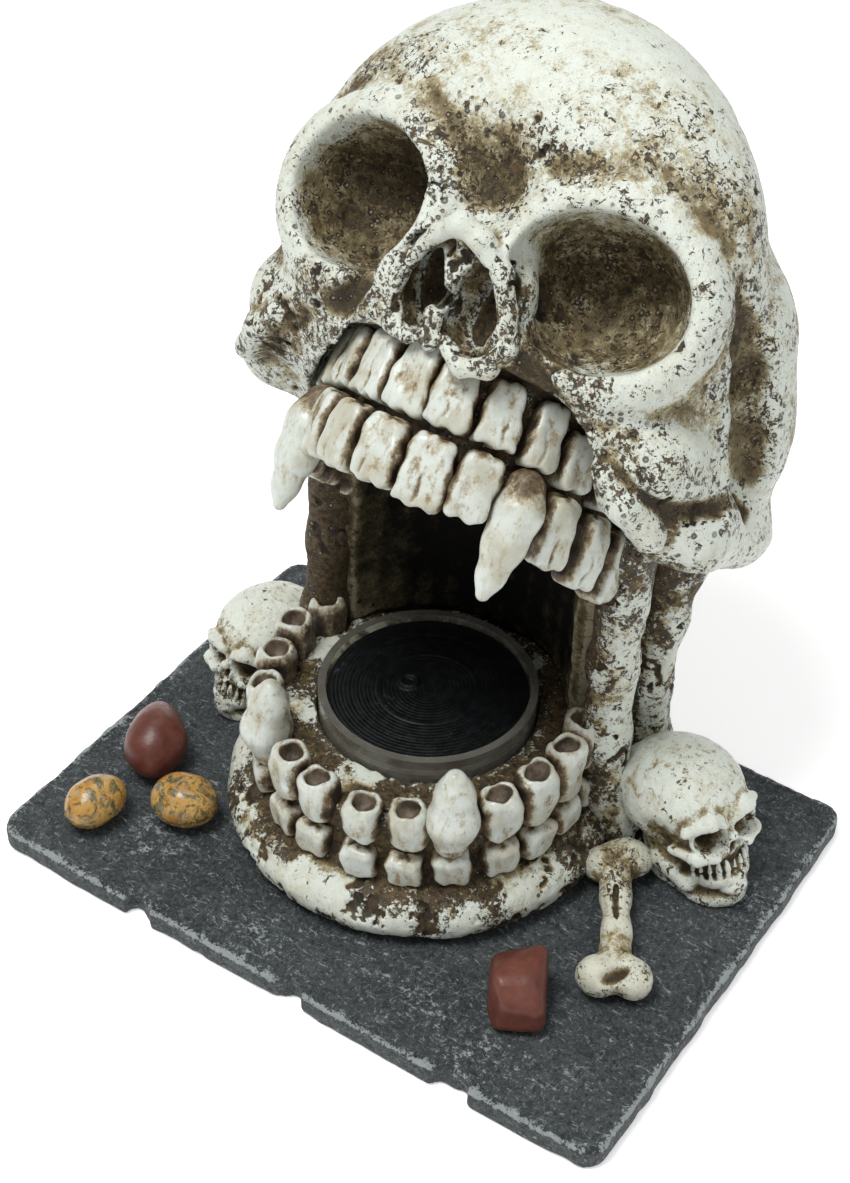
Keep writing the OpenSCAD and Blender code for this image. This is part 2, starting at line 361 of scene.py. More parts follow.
def pits(p, centres, radii, depth=0.7, rim=0.0):
    """round holes: moves vertices in along their normals and marks them in att['pit']"""
    N = mesh_normals(p.V, p.Q)
    mark = p.att.get("pit", np.zeros(len(p.V), F))
    disp = np.zeros(len(p.V))
    for c, r in zip(centres, radii):
        d2 = ((p.V - c) ** 2)
        near = np.nonzero((np.abs(p.V[:, 0] - c[0]) < 2.2 * r) & (np.abs(p.V[:, 1] - c[1]) < 2.2 * r) & (np.abs(p.V[:, 2] - c[2]) < 2.2 * r))[0]
        if len(near) == 0:
            continue
        d = np.sqrt(d2[near].sum(1)) / r
        hole = np.clip(1 - d, 0, 1) ** 0.6
        disp[near] = np.minimum(disp[near], -depth * r * hole)
        if rim:
            disp[near] += rim * r * np.exp(-((d - 1.25) / 0.25) ** 2)
        mark[near] = np.maximum(mark[near], np.clip(1.25 - d, 0, 1))
    p.V = p.V + N * disp[:, None]
    p.att["pit"] = mark.astype(F)
    return p


def roughen(p, amount, size, octaves=3, seed=0, inward=True):
    """hand-sculpted unevenness"""
    N = mesh_normals(p.V, p.Q)
    n = fbm(p.V, size, octaves, seed)
    if inward:
        n = n - 1
    p.V = p.V + N * (n * amount)[:, None]
    return p


def build(name, p, mat, body="ornament", to_world=None, nodes=(), smooth=True):
    V = p.V if to_world is None else to_world(p.V)
    me = bpy.data.meshes.new(name)
    nv, nq = len(V), len(p.Q)
    me.vertices.add(nv)
    me.vertices.foreach_set("co", (V / 1000.0).astype(F).ravel())
    me.loops.add(nq * 4)
    me.loops.foreach_set("vertex_index", p.Q.astype(np.int32).ravel())
    me.polygons.add(nq)
    me.polygons.foreach_set("loop_start", np.arange(0, nq * 4, 4, dtype=np.int32))
    me.polygons.foreach_set("loop_total", np.full(nq, 4, np.int32))
    me.update(calc_edges=True)
    me.validate()
    if smooth:
        me.polygons.foreach_set("use_smooth", np.ones(len(me.polygons), bool))
    for k in ("fine", "broad", "pit", "tone"):
        a = me.attributes.new(k, "FLOAT", "POINT")
        a.data.foreach_set("value", np.ascontiguousarray(p.att.get(k, np.zeros(nv)), F))
    o = bpy.data.objects.new(name, me)
    bpy.context.scene.collection.objects.link(o)
    me.materials.append(mat)
    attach(o, body)
    if nodes:
        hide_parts(*nodes)
    print(name, nv, "vertices")
    return o


# ------------------------------------------------------------------ materials
class Nodes:
    def __init__(s, name):
        s.m = bpy.data.materials.new(name)
        s.m.use_nodes = True
        s.t = s.m.node_tree
        s.t.nodes.clear()
        s.out = s.t.nodes.new("ShaderNodeOutputMaterial")
        s.b = s.t.nodes.new("ShaderNodeBsdfPrincipled")
        s.t.links.new(s.b.outputs[0], s.out.inputs[0])
        tc = s.t.nodes.new("ShaderNodeTexCoord")
        mp = s.t.nodes.new("ShaderNodeMapping")
        mp.inputs["Scale"].default_value = (1000, 1000, 1000)
        s.t.links.new(tc.outputs["Object"], mp.inputs[0])
        s.mm = mp.outputs[0]                # position in mm

    def put(s, sock, v):
        if isinstance(v, bpy.types.NodeSocket):
            s.t.links.new(v, sock)
        elif isinstance(v, (tuple, list)) and len(v) == 3 and sock.type == "RGBA":
            sock.default_value = (*v, 1)
        else:
            sock.default_value = v

    def math(s, op, a, b=0.0, c=None, clamp=False):
        n = s.t.nodes.new("ShaderNodeMath")
        n.operation = op
        n.use_clamp = clamp
        s.put(n.inputs[0], a)
        s.put(n.inputs[1], b)
        if c is not None:
            s.put(n.inputs[2], c)
        return n.outputs[0]

    def ramp(s, v, lo, hi, a=0.0, b=1.0):
        n = s.t.nodes.new("ShaderNodeMapRange")
        n.interpolation_type = "SMOOTHSTEP"
        s.put(n.inputs[0], v)
        for k, q in zip((1, 2, 3, 4), (lo, hi, a, b)):
            s.put(n.inputs[k], q)
        return n.outputs[0]

    def mix(s, f, a, b, mode="MIX"):
        n = s.t.nodes.new("ShaderNodeMix")
        n.data_type = "RGBA"
        n.blend_type = mode
        s.put(n.inputs[0], f)
        s.put(n.inputs[6], a)
        s.put(n.inputs[7], b)
        return n.outputs[2]

    def attr(s, name):
        n = s.t.nodes.new("ShaderNodeAttribute")
        n.attribute_name = name
        return n.outputs["Fac"]

    def stretch(s, k):
        n = s.t.nodes.new("ShaderNodeVectorMath")
        n.operation = "MULTIPLY"
        s.put(n.inputs[0], s.mm)
        n.inputs[1].default_value = k
        return n.outputs[0]

    def noise(s, size, detail=4, rough=0.6, vec=None, w=0.0, dist=0.0):
        n = s.t.nodes.new("ShaderNodeTexNoise")
        n.noise_dimensions = "4D"
        s.put(n.inputs["Vector"], vec or s.mm)
        n.inputs["W"].default_value = w
        n.inputs["Scale"].default_value = 1.0 / size
        n.inputs["Detail"].default_value = detail
        n.inputs["Roughness"].default_value = rough
        n.inputs["Distortion"].default_value = dist
        return n.outputs[0]

    def voronoi(s, size, feature="F1", vec=None, rand=1.0):
        n = s.t.nodes.new("ShaderNodeTexVoronoi")
        n.feature = feature
        s.put(n.inputs["Vector"], vec or s.mm)
        n.inputs["Scale"].default_value = 1.0 / size
        n.inputs["Randomness"].default_value = rand
        return n.outputs["Distance"], (n.outputs["Color"] if feature == "F1" else None)

    def dots(s, size, share, r=0.35, vec=None):
        """round dots: one cell in so many, 1 inside"""
        d, c = s.voronoi(size, vec=vec)
        sep = s.t.nodes.new("ShaderNodeSeparateColor")
        s.t.links.new(c, sep.inputs[0])
        pick = s.math("LESS_THAN", sep.outputs[0], share)
        rr = s.math("MULTIPLY_ADD", sep.outputs[1], r * 0.7, r * 0.5)
        dot = s.math("SUBTRACT", 1.0, s.ramp(s.math("DIVIDE", d, rr), 0.75, 1.15))
        return s.math("MULTIPLY", dot, pick), s.math("DIVIDE", d, rr), pick

    def bump(s, height, strength=0.5, dist=0.3, prev=None):
        n = s.t.nodes.new("ShaderNodeBump")
        n.inputs["Strength"].default_value = strength
        n.inputs["Distance"].default_value = dist / 1000.0
        s.put(n.inputs["Height"], height)
        if prev is not None:
            s.put(n.inputs["Normal"], prev)
        return n.outputs[0]

    def done(s, color, rough, normal=None, **k):
        s.put(s.b.inputs["Base Color"], color)
        s.put(s.b.inputs["Roughness"], rough)
        if normal is not None:
            s.put(s.b.inputs["Normal"], normal)
        for name, v in k.items():
            s.put(s.b.inputs[name.replace("_", " ")], v)
        return s.m


def bone_material(name, wash=1.0, specks=1.0, light=(0.67, 0.715, 0.645), dots=1.0, fine_k=4.0, base=0.0):
    """Cast resin painted off-white, with an olive-brown wash left in the hollows, black-brown specks and burst bubbles;
    the tone attribute also paints shade into the wash in a few places.
    """
    n = Nodes(name)
    fine, broad, pit, tone = n.attr("fine"), n.attr("broad"), n.attr("pit"), n.attr("tone")
    big = n.noise(26, 4, 0.6, w=1.0)
    mid = n.noise(6.0, 6, 0.72, w=2.0, dist=0.6)
    small = n.noise(1.7, 5, 0.75, w=3.0, dist=0.4)
    grain = n.noise(0.62, 3, 0.7, w=5.0)
    streak = n.noise(1.6, 5, 0.72, vec=n.stretch((1.0, 0.8, 0.28)), w=4.0)
    # paint: chalky white, thinner and creamier in patches
    col = n.mix(n.math("MULTIPLY", n.ramp(mid, 0.46, 0.68), 0.65), light, (0.53, 0.50, 0.36))
    col = n.mix(n.math("MULTIPLY", n.ramp(streak, 0.54, 0.72), 0.45), col, (0.40, 0.37, 0.26))
    col = n.mix(n.math("MULTIPLY", n.ramp(grain, 0.52, 0.72), 0.30), col, (0.43, 0.38, 0.25))
    # wash, ragged at the edges; the tone attribute also paints shade into it, as in the upper eye sockets and on the
    # struts under the head
    w = n.math("MULTIPLY_ADD", broad, 2.6, n.math("MULTIPLY", fine, fine_k))
    w = n.math("ADD", w, n.math("MULTIPLY_ADD", tone, 1.15, base))
    w = n.math("ADD", w, n.math("MULTIPLY_ADD", big, 2.2, -1.10))
    w = n.math("ADD", w, n.math("MULTIPLY_ADD", mid, 2.4, -1.22))
    w = n.math("ADD", w, n.math("MULTIPLY_ADD", small, 2.8, -1.42))
    w = n.math("ADD", w, n.math("MULTIPLY_ADD", grain, 1.8, -0.90))
    w1 = n.math("MULTIPLY", n.ramp(w, -0.05, 0.70), min(1.0, 0.70 * wash))
    col = n.mix(w1, col, n.mix(n.ramp(streak, 0.38, 0.62), (0.185, 0.128, 0.038), (0.38, 0.295, 0.108)))
    col = n.mix(n.math("MULTIPLY", n.ramp(w, 0.55, 1.20), 0.80), col, n.mix(n.ramp(grain, 0.4, 0.62), (0.070, 0.048, 0.016), (0.185, 0.132, 0.046)))
    col = n.mix(n.math("MULTIPLY", n.ramp(w, 1.30, 2.1), 0.85), col, (0.022, 0.016, 0.009))
    # ragged dark specks where the casting is porous
    where = n.math("MULTIPLY_ADD", tone, 0.55, n.math("MULTIPLY", n.noise(12, 4, 0.65, w=8.0), 1.3))
    reg = n.ramp(where, 0.52, 1.10)
    reg = n.math("ADD", reg, n.math("MULTIPLY", n.ramp(broad, 0.0, 0.35), 0.35))
    reg = n.math("MULTIPLY_ADD", reg, 0.125 * specks, 0.010 * specks)
    spk = n.ramp(n.math("ADD", n.math("SUBTRACT", n.noise(1.9, 4, 0.65, w=7.0, dist=1.0), 0.680), reg), -0.004, 0.016)
    spk2 = n.ramp(n.math("ADD", n.math("SUBTRACT", n.noise(0.95, 3, 0.6, w=11.0, dist=0.5), 0.716), reg), -0.004, 0.022)
    spk3 = n.ramp(n.math("ADD", n.math("SUBTRACT", n.noise(3.2, 5, 0.75, w=17.0, dist=1.0), 0.665), n.math("MULTIPLY", reg, 0.85)), -0.003, 0.012)
    spk = n.math("MAXIMUM", n.math("MAXIMUM", spk, n.math("MULTIPLY", spk2, 0.85)), spk3)
    col = n.mix(n.math("MULTIPLY", n.ramp(spk, 0.0, 0.5), 0.78), col, (0.21, 0.145, 0.058))
    col = n.mix(n.math("MULTIPLY", n.ramp(spk, 0.40, 0.95), 0.93), col, n.mix(n.ramp(small, 0.42, 0.60), (0.012, 0.009, 0.006), (0.105, 0.068, 0.027)))
    # burst bubbles: dark ring, pale core
    dot, q, pick = n.dots(2.2, 0.42 * dots, 0.38)
    core = n.math("MULTIPLY", n.math("SUBTRACT", 1.0, n.ramp(q, 0.25, 0.55)), pick)
    region = n.ramp(n.math("MULTIPLY_ADD", tone, 0.8, n.math("MULTIPLY", n.noise(9, 2, 0.5, w=9.0), 0.9)), 0.62, 0.78)
    dot = n.math("MULTIPLY", dot, region)
    col = n.mix(n.math("MULTIPLY", dot, 0.85), col, (0.024, 0.018, 0.012))
    col = n.mix(n.math("MULTIPLY", n.math("MULTIPLY", core, region), 0.6), col, (0.46, 0.45, 0.37))
    # chips and carved pits
    chip = n.ramp(n.math("ADD", n.math("MULTIPLY_ADD", small, 1.6, -0.8), n.math("MULTIPLY_ADD", grain, 0.9, n.math("SUBTRACT", pit, 0.85))), 0.0, 0.35)
    col = n.mix(n.math("MULTIPLY", chip, 0.92), col, n.mix(n.ramp(mid, 0.46, 0.60), (0.016, 0.011, 0.008), (0.085, 0.055, 0.026)))
    h = n.math("MULTIPLY_ADD", small, 0.65, n.math("MULTIPLY", mid, 0.9))
    h = n.math("MULTIPLY_ADD", grain, 0.28, h)
    h = n.math("SUBTRACT", h, n.math("MULTIPLY", spk, 0.6))
    h = n.math("SUBTRACT", h, n.math("MULTIPLY", dot, 0.6))
    rough = n.math("ADD", n.math("MULTIPLY_ADD", grain, 0.15, 0.34), n.math("MULTIPLY", w1, 0.4))
    return n.done(col, rough, n.bump(h, 0.85, 0.75), Specular_IOR_Level=0.42)


def tooth_material(name, light=(0.64, 0.69, 0.645)):
    n = Nodes(name)
    fine, broad, pit, tone = n.attr("fine"), n.attr("broad"), n.attr("pit"), n.attr("tone")
    big = n.noise(9, 4, 0.6, w=1.0)
    streak = n.noise(2.0, 5, 0.7, vec=n.stretch((1.0, 0.6, 0.3)), w=4.0)
    small = n.noise(1.1, 4, 0.7, w=3.0)
    mid = n.noise(4.5, 5, 0.7, w=12.0)
    col = n.mix(n.ramp(big, 0.38, 0.64), light, (0.50, 0.50, 0.41))
    col = n.mix(n.math("MULTIPLY", n.ramp(streak, 0.48, 0.66), 0.55), col, (0.38, 0.34, 0.22))
    w = n.math("MULTIPLY_ADD", fine, 2.0, n.math("MULTIPLY", tone, 1.65))
    w = n.math("ADD", w, n.math("MULTIPLY_ADD", streak, 2.0, -0.93))
    w = n.math("ADD", w, n.math("MULTIPLY_ADD", mid, 2.0, -0.95))
    w = n.math("ADD", w, n.math("MULTIPLY_ADD", small, 1.5, -0.72))
    w1 = n.ramp(w, 0.05, 0.65)
    col = n.mix(n.math("MULTIPLY", w1, 0.72), col, (0.31, 0.225, 0.105))
    col = n.mix(n.math("MULTIPLY", n.ramp(w, 0.42, 1.00), 0.88), col, (0.105, 0.066, 0.028))
    col = n.mix(n.math("MULTIPLY", n.ramp(w, 0.95, 1.5), 0.9), col, (0.022, 0.015, 0.010))
    spk = n.ramp(n.math("SUBTRACT", n.noise(1.2, 4, 0.7, w=6.0, dist=0.8), n.math("SUBTRACT", 0.685, n.math("MULTIPLY", tone, 0.12))), 0.0, 0.03)
    col = n.mix(n.math("MULTIPLY", spk, 0.85), col, (0.03, 0.02, 0.014))
    col = n.mix(n.ramp(pit, 0.1, 0.8), col, n.mix(n.ramp(mid, 0.38, 0.62), (0.040, 0.026, 0.016), (0.15, 0.115, 0.080)))
    h = n.math("SUBTRACT", n.math("MULTIPLY_ADD", small, 0.4, streak), n.math("MULTIPLY", spk, 0.4))
    return n.done(col, n.math("MULTIPLY_ADD", w1, 0.30, 0.27), n.bump(h, 0.4, 0.35), Specular_IOR_Level=0.5)


def dark_material(name):
    """Brown-black paint of the throat, mottled and pitted."""
    n = Nodes(name)
    fine, tone = n.attr("fine"), n.attr("tone")
    mid = n.noise(5.0, 6, 0.72, w=2.0, dist=0.8)
    small = n.noise(1.5, 5, 0.72, w=4.0, dist=0.6)
    grain = n.noise(0.7, 3, 0.7, w=5.0)
    v = n.math("MULTIPLY_ADD", mid, 1.6, n.math("MULTIPLY_ADD", small, 1.5, -1.55))
    v = n.math("SUBTRACT", v, n.math("MULTIPLY", fine, 1.5))
    v = n.math("ADD", v, tone)
    col = n.mix(n.ramp(v, 0.0, 0.65), (0.0035, 0.0028, 0.0020), (0.044, 0.035, 0.016))
    col = n.mix(n.math("MULTIPLY", n.ramp(v, 0.50, 1.05), 0.80), col, (0.125, 0.103, 0.050))
    col = n.mix(n.math("MULTIPLY", n.ramp(v, 1.0, 1.5), 0.6), col, (0.40, 0.36, 0.25))
    col = n.mix(n.math("MULTIPLY", n.math("SUBTRACT", 1.0, n.ramp(small, 0.36, 0.46)), 0.85), col, (0.004, 0.003, 0.002))
    return n.done(col, 0.85, n.bump(n.math("MULTIPLY_ADD", grain, 0.3, n.math("ADD", mid, small)), 1.0, 0.9), Specular_IOR_Level=0.22)


def slate_material(name):
    n = Nodes(name)
    fine, tone = n.attr("fine"), n.attr("tone")
    big = n.noise(34, 5, 0.62, w=1.0)
    mid = n.noise(6, 7, 0.75, w=2.0, dist=1.2)
    small = n.noise(1.3, 5, 0.8, w=3.0, dist=0.8)
    grain = n.noise(0.5, 3, 0.7, w=6.0)
    col = n.mix(n.ramp(big, 0.35, 0.65), (0.027, 0.034, 0.037), (0.048, 0.058, 0.063))
    col = n.mix(n.math("MULTIPLY", n.ramp(mid, 0.46, 0.60), 0.50), col, (0.080, 0.092, 0.097))
    col = n.mix(n.math("MULTIPLY", n.ramp(small, 0.50, 0.60), 0.45), col, (0.115, 0.128, 0.130))
    col = n.mix(n.math("MULTIPLY", n.ramp(grain, 0.58, 0.70), 0.35), col, (0.25, 0.27, 0.27))
    col = n.mix(n.math("MULTIPLY", n.math("SUBTRACT", 1.0, n.ramp(small, 0.40, 0.48)), 0.75), col, (0.010, 0.013, 0.014))
    # worn spots, scuffs and short scratches; through the tone attribute the pale patches also paint a highlight along
    # the slab's top edges and leave its sides darker, as painted shade
    sc = n.noise(2.2, 6, 0.78, vec=n.stretch((0.40, 1.0, 1.0)), w=5.0, dist=2.2)
    sc2 = n.noise(2.0, 6, 0.78, vec=n.stretch((1.0, 0.40, 1.0)), w=9.0, dist=2.2)
    drybrush_and_painted_light = n.math("ADD", n.math("MULTIPLY_ADD", fine, -0.5, tone), n.math("MULTIPLY_ADD", mid, 1.8, -0.98))
    drybrush_and_painted_light = n.math("ADD", drybrush_and_painted_light, n.math("MULTIPLY_ADD", small, 2.6, -1.34))
    drybrush_and_painted_light = n.math("ADD", drybrush_and_painted_light, n.math("MULTIPLY_ADD", sc, 1.4, -0.72))
    col = n.mix(n.math("MULTIPLY", n.ramp(drybrush_and_painted_light, 0.24, 0.46), 0.75), col, (0.40, 0.44, 0.45))
    col = n.mix(n.math("MULTIPLY", n.ramp(sc, 0.575, 0.62), 0.60), col, (0.40, 0.43, 0.44))
    col = n.mix(n.math("MULTIPLY", n.ramp(sc2, 0.585, 0.63), 0.55), col, (0.36, 0.39, 0.40))
    h = n.math("MULTIPLY_ADD", small, 0.7, n.math("MULTIPLY_ADD", grain, 0.3, mid))
    return n.done(col, n.ramp(small, 0.3, 0.7, 0.74, 0.52), n.bump(h, 0.9, 0.8), Specular_IOR_Level=0.35)


def brown_stone_material(name):
    n = Nodes(name)
    a = n.noise(9, 5, 0.6, w=1.0, dist=0.5)
    b = n.noise(1.3, 4, 0.7, w=2.0)
    col = n.mix(n.ramp(a, 0.35, 0.68), (0.100, 0.026, 0.017), (0.165, 0.052, 0.034))
    col = n.mix(n.math("MULTIPLY", n.ramp(b, 0.56, 0.76), 0.35), col, (0.22, 0.105, 0.075))
    col = n.mix(n.math("MULTIPLY", n.ramp(n.noise(4, 5, 0.7, w=5.0), 0.60, 0.68), 0.55), col, (0.035, 0.016, 0.013))
    col = n.mix(n.math("MULTIPLY", n.ramp(n.attr("fine"), 0.02, 0.25), 0.6), col, (0.03, 0.014, 0.011))
    return n.done(col, n.ramp(b, 0.3, 0.8, 0.34, 0.55), n.bump(n.math("ADD", a, b), 0.3, 0.4), Specular_IOR_Level=0.4, Coat_Weight=0.08, Coat_Roughness=0.2)


def ochre_stone_material(name, seed=0.0):
    n = Nodes(name)
    a = n.noise(8, 4, 0.6, w=1.0 + seed, dist=0.8)
    d = n.noise(5.0, 6, 0.75, w=3.0 + seed, dist=1.4)
    b = n.noise(1.0, 4, 0.7, w=2.0)
    e = n.noise(2.2, 5, 0.7, w=6.0 + seed, dist=1.0)
    col = n.mix(n.ramp(a, 0.35, 0.65), (0.40, 0.185, 0.028), (0.56, 0.34, 0.095))
    col = n.mix(n.math("MULTIPLY", n.ramp(n.noise(3, 4, 0.6, w=8.0 + seed), 0.52, 0.66), 0.7), col, (0.36, 0.34, 0.24))
    col = n.mix(n.math("MULTIPLY", n.ramp(d, 0.485, 0.56), 0.9), col, n.mix(n.ramp(b, 0.4, 0.6), (0.040, 0.042, 0.024), (0.15, 0.145, 0.075)))
    col = n.mix(n.math("MULTIPLY", n.ramp(e, 0.60, 0.68), 0.8), col, (0.045, 0.030, 0.015))
    return n.done(col, n.ramp(b, 0.3, 0.8, 0.22, 0.40), n.bump(n.math("ADD", e, b), 0.15, 0.3), Specular_IOR_Level=0.5, Coat_Weight=0.15, Coat_Roughness=0.2)


def rubber_material(name):
    n = Nodes(name)
    tone = n.attr("tone")
    s = n.noise(2.2, 5, 0.75, w=1.0)
    dust = n.ramp(n.math("ADD", n.noise(0.9, 4, 0.7, w=2.0), n.math("MULTIPLY_ADD", n.noise(14, 2, 0.5, w=4.0), 0.5, -0.25)), 0.66, 0.76)
    col = n.mix(n.ramp(s, 0.4, 0.7), (0.0035, 0.004, 0.0045), (0.008, 0.0095, 0.011))
    col = n.mix(n.math("MULTIPLY", dust, 0.35), col, (0.16, 0.19, 0.21))
    return n.done(col, n.ramp(s, 0.3, 0.7, 0.30, 0.48), n.bump(s, 0.12, 0.2), Specular_IOR_Level=0.30)


def clear_material(name, cloud=0.15):
    n = Nodes(name)
    s = n.noise(6, 4, 0.6, w=1.0)
    col = n.mix(n.ramp(s, 0.35, 0.7), (0.60, 0.58, 0.49), (0.80, 0.79, 0.72))
    return n.done(col, n.ramp(s, 0.3, 0.7, 0.10, 0.26), n.bump(s, 0.05, 0.3), Transmission_Weight=1.0 - cloud, IOR=1.46, Specular_IOR_Level=0.6)


def plate_material(name):
    n = Nodes(name)
    s = n.noise(3, 4, 0.6, w=1.0)
    col = n.mix(n.ramp(s, 0.35, 0.7), (0.42, 0.43, 0.42), (0.55, 0.56, 0.55))
    return n.done(col, 0.5, n.bump(s, 0.1, 0.2))


# ------------------------------------------------------------------ camera, lights, floor
scene = bpy.context.scene
scene.view_settings.view_transform = "Standard"


def look(az, el, dist, target, roll=0.0):
    az, el, roll = math.radians(az), math.radians(el), math.radians(roll)
    back = Vector((math.sin(az) * math.cos(el), -math.cos(az) * math.cos(el), math.sin(el)))
    right = (-back).cross(Vector((0, 0, 1))).normalized()
    up = right.cross(-back)
    r2 = right * math.cos(roll) + up * math.sin(roll)
    u2 = -right * math.sin(roll) + up * math.cos(roll)
    p = Vector(target) + back * dist
    return ((r2[0], u2[0], back[0], p[0]), (r2[1], u2[1], back[1], p[1]), (r2[2], u2[2], back[2], p[2]), (0, 0, 0, 1))


def add(name, data):
    o = bpy.data.objects.new(name, data)
    scene.collection.objects.link(o)
    return o


def matrix(rows):
    from mathutils import Matrix
    return Matrix(rows)


cam = bpy.data.cameras.new("camera")
cam.lens = 65.93
cam.sensor_width = 36
cam.clip_start, cam.clip_end = 0.02, 30
camera = add("camera", cam)
camera.matrix_world = matrix(look(32.8045, 41.3071, 0.70050, (-0.054776, 0.082123, 0.008), 1.33465))
scene.camera = camera

for name, az, el, dist, size, watts, tint in (
        ("key", -28, 70, 1.15, 0.50, 10.6, (1, 0.99, 0.97)),
        ("side", 100, 50, 1.3, 0.9, 2.2, (0.97, 0.985, 1)),
        ("front", 30, 25, 1.4, 0.9, 0.8, (1, 1, 1)),
        ("back", 200, 55, 1.3, 0.9, 3.0, (1, 1, 1))):
    li = bpy.data.lights.new(name, "AREA")
    li.shape, li.size, li.energy, li.color = "DISK", size, watts, tint
    o = add(name, li)
    o.matrix_world = matrix(look(az, el, dist, (0, 0.01, 0.10)))

world = bpy.data.worlds.new("studio")
world.use_nodes = True
bg = world.node_tree.nodes["Background"]
bg.inputs[0].default_value = (1, 1, 1, 1)
bg.inputs[1].default_value = 0.32
scene.world = world

fm = Nodes("floor_paint")
fm.done(fm.mix(fm.ramp(fm.noise(120, 2, 0.5), 0.3, 0.7), (0.93, 0.93, 0.93), (0.95, 0.95, 0.95)), 0.9,
        Emission_Color=(1, 1, 1, 1), Emission_Strength=0.42)
me = bpy.data.meshes.new("floor")
me.from_pydata([(-4, -4, 0), (4, -4, 0), (4, 4, 0), (-4, 4, 0)], [], [(0, 1, 2, 3)])
me.materials.append(fm.m)
add("floor", me)

# ------------------------------------------------------------------ shared materials
BONE = bone_material("painted_bone", specks=1.0, base=0.06)
BONE_DIRTY_AND_SHADED = bone_material("painted_bone_porous", wash=1.15, specks=1.5, dots=0.6, base=0.40)
TOOTH = tooth_material("painted_tooth")
THROAT = dark_material("dark_throat_paint")
SLATE = slate_material("slate_paint_finish")
BROWN = brown_stone_material("brown_stone_gloss")
OCHRE = ochre_stone_material("ochre_stone_gloss")
RUBBER = rubber_material("membrane_rubber")
CLEAR = clear_material("clear_plastic_finish")
PLATE = plate_material("grey_plastic_finish")

COARSE = 1.0


def blob(P, c, r):
    q = (P - np.asarray(c, float)) / np.asarray(r, float)
    return np.exp(-(q * q).sum(-1))


def both(P, c, r):
    return blob(P, c, r) + blob(P, (-c[0], c[1], c[2]), r)


def step(x, a, b):
    t = np.clip((x - a) / (b - a), 0, 1)
    return t * t * (3 - 2 * t)


def seam(f, R, inside, over=1.4, sink=0.25):
    """splits a sculpted form along R, so that neighbouring pieces meet under one skin"""
    sl, X, Y, Z = f.all()
    r = (R(X, Y, Z) + np.zeros(f.n, F)).astype(F)
    if inside:
        f.D = np.maximum(f.D, r)
    else:
        f.D = np.maximum(f.D + F(sink) * step(-r, -0.3, 0.5).astype(F), -(r + F(over)))


# ------------------------------------------------------------------ the head
def gum_top(t):
    """height where the teeth of the upper row meet the gum, by angle round the arch"""
    return np.interp(t, (0, 20, 35, 45, 52, 70, 92, 125), (131, 130.5, 129, 127.5, 125, 118.5, 109, 97))


def arch_distance(X, Y):
    return (np.sqrt((X / F(40.6)) ** 2 + ((Y + F(40)) / F(50.8)) ** 2) - 1) * F(42)


def arch_angle(X, Y):
    return np.abs(np.degrees(np.arctan2(X / F(40.6), -(Y + F(40)) / F(50.8))))


def chips(P, size, seed, lo, hi):
    """ragged patches: 1 inside, 0 outside"""
    n = fbm(P + 0.25 * size * np.stack([noise(P, size * 0.5, seed + 70 + k) for k in range(3)], 1), size, 3, seed, 0.55)
    return step(n, lo, hi)


EYES = ((34.8, 154.8), (-33.7, 158.0))


